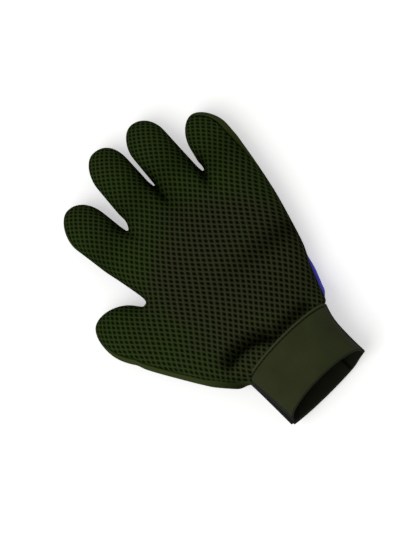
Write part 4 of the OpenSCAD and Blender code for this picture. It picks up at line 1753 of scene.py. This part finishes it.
@dataclass
class WristClosure:
    """Elastic round the wrist, its stitches, and the tab that closes it with touch tapes.

    Angles are in degrees about the wrist's oval, from the little finger's side over the back.
    """

    # Band, tab and tapes
    half_w: float = 35.0
    half_h: float = 17.0
    centre_z: float = 27.5
    front_y: float = -80.0
    width: float = 40.0
    thick: float = 2.0
    root_angle: float = -34.0
    root_step: float = 4.36
    root_slit: float = 0.1
    band_end: float = -58.0
    band_points: int = 181
    tab_end: float = -142.0
    tab_points: int = 95
    tape_margin: float = 3.0
    tape_angle: float = 8.0
    tape_points: int = 61
    tape_t: float = 1.0
    clear: float = 0.3
    tape_gap: float = 0.1
    edge_round: float = 0.9
    round_limit: float = 0.48
    corner_points: int = 4
    face_points: int = 7
    # Stitches; their row's ends are in radians
    stitch_step: float = 3.0
    stitch_len: float = 2.5
    stitch_r: float = 0.45
    stitch_inset: float = 2.3
    stitch_ends: Pair = (0.25, math.pi - 0.25)
    stitch_profile: tuple[float, ...] = (-0.98, -0.7, 0.0, 0.7, 0.98)
    stitch_sides: int = 6
    path_points: int = 1201
    # Shape of the oval over the back, by the sine of the angle, and slant of both edges
    slant: Pair = (0.1, 0.26)
    back_span: Pair = (-0.45, 0.0)
    draw_in: float = 0.02
    narrowing: float = 0.1
    sway: float = 2.2
    sway_fall: float = 0.4
    waist: float = 0.045
    waist_sway: float = 1.0
    # Dark sides, and painted shade underneath and at the rear edge: spans of the angle's cosine and sine,
    # and of the distance to the rear edge
    thumb_dark: Pair = (-0.94, -0.985)
    little_dark: Pair = (0.975, 0.998)
    under_dark: Pair = (-0.05, -0.2)
    under_shade: float = 0.8
    rear_dark: Pair = (1.0, 0.4)
    rear_shade: float = 0.6

    def section(self, width: float, thick: float, front: float) -> tuple[Array, Array]:
        """Closed section of a strap: a bar with rounded corners, as places along Y and outward.

        Corner points follow quarter circles; the faces have a few points so that ribs lie even.

        Args:
            width: size along the arm.
            thick: thickness.
            front: the edge nearest the fingers.

        Returns:
            Places along Y, and places outward from the strap's inner face.
        """
        r = min(self.edge_round, self.round_limit * thick)
        turn = np.linspace(0.0, QUARTER_TURN, self.corner_points)
        sine, cosine = r * np.sin(turn), r * np.cos(turn)
        face = np.linspace(1.0, 0.0, self.face_points + 2)[1:-1] * (width - 2 * r) + r
        far, top = width - r, thick - r
        along = [far + sine[::-1], face, r - sine, r - cosine, face[::-1], far + sine]
        flat = np.zeros(self.face_points)
        out = [top + cosine[::-1], flat + thick, top + cosine, r - sine, flat, r - cosine]
        return front - width + np.concatenate(along), np.concatenate(out)

    def placed(self, angle: Array, out: Array, y: Array) -> Array:
        """Points of a strap on the wrist.

        A point at angle a and distance q outward is at ((w + q) cos a, (h + q) sin a) about the
        oval's middle. Over the back of the wrist the oval is drawn in, narrows to the arm with
        a waist half-way and stands to one side; a strap's edges lean to the fingers as they rise.

        Args:
            angle: angles round the wrist, in radians.
            out: distances outward from the oval.
            y: places along the arm.

        Returns:
            The points.
        """
        down = (self.front_y - y) / self.width
        high = smoothstep(np.sin(angle), *self.back_span)
        waist = 4.0 * down * (1.0 - down)
        fit = 1.0 - high * (self.draw_in + self.narrowing * down + self.waist * waist)
        aside = self.sway * (1.0 - self.sway_fall * down) - self.waist_sway * waist
        x = fit * (self.half_w + out) * np.cos(angle) + high * aside
        z = fit * (self.half_h + out) * np.sin(angle)
        front, rear = self.slant
        lean = high * (front + (rear - front) * down)
        return np.stack([x, y + lean * z, self.centre_z + z], axis=-1)

    def strap(self, degrees: Array, lift: Array | float, inset: float, thick: float) -> Surface:
        """Carry a strap's section round the wrist's oval and close its ends by flat caps.

        Args:
            degrees: angles round the wrist.
            lift: distance of the strap's inner face off the oval, for all or for each angle.
            inset: how far it keeps off both edges of the band.
            thick: thickness.

        Returns:
            The closed surface, with its length round the wrist as the cloth's flat place.
        """
        angles = np.radians(degrees)
        width, front = self.width - 2 * inset, self.front_y - inset
        y, out = self.section(width, thick, front)
        off = np.broadcast_to(lift, angles.shape)[:, None] + out
        points = self.placed(angles[:, None], off, y[None])
        rows, cols = off.shape
        k = np.arange(cols // 2 - 1)
        first = np.stack([k, cols - 1 - k, cols - 2 - k, k + 1], axis=1)
        last = (rows - 1) * cols + first[:, ::-1]
        run, along = np.broadcast_arrays(run_along(points[:, 0])[:, None], y)
        cloth = np.stack([run, along], axis=-1).reshape(-1, 2)
        cosine, sine = np.cos(angles), np.sin(angles)
        # Dark at both sides of the oval, painted shade underneath and along the rear edge
        dark = [smoothstep(cosine, *self.thumb_dark), smoothstep(cosine, *self.little_dark)]
        dark.append(self.under_shade * smoothstep(sine, *self.under_dark))
        rear = self.rear_shade * smoothstep(front - y, *(width - np.array(self.rear_dark)))
        dark_edge_and_shade = np.maximum(np.max(dark, axis=0)[:, None], rear)
        marks = {"dark_edge_and_shade": dark_edge_and_shade.ravel(), "from_front": (front - along).ravel()}
        faces = [tube_quads(rows, cols)[:, [0, 3, 2, 1]], first, last]
        return Surface(points.reshape(-1, 3), faces, cloth, marks)

    def stitches(self) -> Surface:
        """Row of lock stitches near the band's finger-side edge, each a short bar with round ends.

        A stitch is a turned profile: radius r sqrt(1 - t^4) along its length, t from -1 to 1.

        Returns:
            One surface with every stitch.
        """
        turn = np.linspace(*self.stitch_ends, self.path_points)
        row = np.array(self.front_y - self.stitch_inset)
        run = run_along(self.placed(turn, np.full(len(turn), self.thick), row))
        centres = np.arange(self.stitch_step, run[-1], self.stitch_step)
        t = np.array(self.stitch_profile)
        radius = self.stitch_r * np.sqrt(1.0 - t**4)
        n = self.stitch_sides
        angle = 2.0 * math.pi * np.arange(n) / n
        at = np.interp(centres[:, None] + 0.5 * self.stitch_len * t, run, turn)
        high, wide = self.thick + np.outer(radius, np.sin(angle)), row + np.outer(radius, np.cos(angle))
        points = self.placed(at[:, :, None], high[None], wide[None])
        ends = np.array([np.arange(n)[::-1], (len(t) - 1) * n + np.arange(n)])
        shapes = (tube_quads(len(t), n)[:, [0, 3, 2, 1]], ends)
        faces = [repeated(shape, len(centres), len(t) * n) for shape in shapes]
        return Surface(points.reshape(-1, 3), faces)

    def build(self) -> None:
        """Make the band, its stitches, the tapes and the tab."""
        elastic = RibbedElastic()
        root = self.root_angle + self.root_step
        round_wrist = np.linspace(root, 360.0 + self.band_end, self.band_points)
        band = self.strap(round_wrist, 0.0, 0.0, self.thick)
        settle(band.piece("elastic_band", elastic), "hand", "wrist_band")
        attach(self.stitches().piece("band_stitches", SewingThread()), "hand")
        ends = (self.tab_end + self.tape_angle, self.band_end - self.tape_angle)
        under_tab = np.linspace(*ends, self.tape_points)
        low = self.thick + self.tape_gap
        high = low + self.tape_t + self.clear
        loop = self.strap(under_tab, low, self.tape_margin, self.tape_t)
        settle(loop.piece("loop_tape_patch", NylonTape()), "hand", "loop_patch")
        hook = self.strap(under_tab, high, self.tape_margin, self.tape_t)
        settle(hook.piece("hook_tape_patch", NylonHooks()), "tab", "hook_patch")
        lift = high + self.tape_t + self.tape_gap
        turn = np.linspace(self.tab_end, root - self.root_slit, self.tab_points)
        rise = lift * smoothstep(turn, self.root_angle, self.band_end - 0.5 * self.tape_angle)
        tab = self.strap(turn, rise, 0.0, self.thick).piece("elastic_tab", elastic)
        self.peel(tab)
        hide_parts("closure_tab")

    def peel(self, tab: bpy.types.Object) -> None:
        """Bake the tab's place into its mesh.

        Args:
            tab: the tab's piece.
        """
        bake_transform(tab)


@dataclass
class Studio:
    """Camera at the photograph's angle, pale floor and soft light."""

    target: Triple = (1.4, -3.4, 15.5)
    distance: float = 1800.0
    elevation: float = 75.0
    roll: float = 45.0
    frame_height: float = 358.0
    sensor: float = 36.0
    near_clip: float = 10.0
    paper: str = "f7f7f5"
    white: str = "ffffff"
    paper_rough: float = 0.95
    floor_half: float = 3000.0
    floor_z: float = -0.4
    floor_glow: float = 0.45
    room_light: float = 0.38
    key_place: Triple = (-650.0, -200.0, 1300.0)
    key_target: Triple = (0.0, 0.0, 20.0)
    key_power: float = 8.8
    key_size: float = 900.0

    def camera(self) -> None:
        """Place the camera behind the wrist, high up, and roll it so that the fingers point up left."""
        e, r = math.radians(self.elevation), math.radians(self.roll)
        back = np.array([0.0, -math.cos(e), math.sin(e)])
        level = np.array([1.0, 0.0, 0.0])
        upright = np.cross(back, level)
        right = math.cos(r) * level - math.sin(r) * upright
        up = math.sin(r) * level + math.cos(r) * upright
        lens = bpy.data.cameras.new("camera")
        lens.sensor_fit = "VERTICAL"
        lens.sensor_height = self.sensor
        lens.lens = self.sensor * self.distance / self.frame_height
        lens.clip_start = self.near_clip * MM
        made = bpy.data.objects.new("camera", lens)
        where = (np.array(self.target) + self.distance * back) * MM
        placed = np.eye(4)
        placed[:3] = np.stack([right, up, back, where], axis=1)
        made.matrix_world = Matrix(placed.tolist())
        bpy.context.scene.collection.objects.link(made)
        bpy.context.scene.camera = made

    def lamp(self) -> None:
        """Add a square soft lamp that points at the glove; its power is in watts."""
        light = bpy.data.lights.new("key", "AREA")
        light.energy = self.key_power
        light.size = self.key_size * MM
        made = bpy.data.objects.new("key", light)
        made.location = Vector(self.key_place) * MM
        way = Vector(self.key_target) - Vector(self.key_place)
        made.rotation_euler = way.to_track_quat("-Z", "Y").to_euler()
        bpy.context.scene.collection.objects.link(made)

    def floor(self) -> None:
        """Lay a plain pale floor under the nub tips, lifted a little to the camera's eye only."""
        paper = bpy.data.materials.new("matt_white_paper")
        paper.use_nodes = True
        tree = paper.node_tree
        seen = add_node(tree, "LightPath", out="Is Camera Ray")
        inputs = {
            "Base Color": self.paper,
            "Roughness": self.paper_rough,
            "Specular IOR Level": 0.0,
            "Emission Color": self.white,
            "Emission Strength": add_node(tree, "Math", (seen, self.floor_glow), operation="MULTIPLY"),
        }
        feed(tree, tree.nodes["Principled BSDF"], inputs)
        corners = self.floor_half * np.array([(-1, -1), (1, -1), (1, 1), (-1, 1)])
        points = np.column_stack([corners, np.full(4, self.floor_z)]) * MM
        mesh = bpy.data.meshes.new("floor")
        mesh.from_pydata(points.tolist(), [], [(0, 1, 2, 3)])
        made = bpy.data.objects.new("floor", mesh)
        made.data.materials.append(paper)
        bpy.context.scene.collection.objects.link(made)

    def world(self) -> None:
        """Surround the scene with pale light that looks white to the camera."""
        around = bpy.data.worlds.new("pale_room")
        bpy.context.scene.world = around
        around.use_nodes = True
        tree = around.node_tree
        seen = add_node(tree, "LightPath", out="Is Camera Ray")
        strength = add_node(tree, "MapRange", (seen, 0.0, 1.0, self.room_light, 1.0))
        feed(tree, tree.nodes["Background"], {"Color": self.white, "Strength": strength})

    def build(self) -> None:
        """Set the stage and the plain colour transform."""
        bpy.context.scene.view_settings.view_transform = "Standard"
        self.camera()
        self.floor()
        self.world()
        self.lamp()


def main() -> None:
    """Build the glove's sub-assemblies in order."""
    logging.basicConfig(level=logging.INFO, format="%(name)s %(message)s")
    Studio().build()
    shell = GloveShell()
    shell.build()
    SiliconePads(shell).build()
    WristClosure().build()


if __name__ == "__main__":
    main()
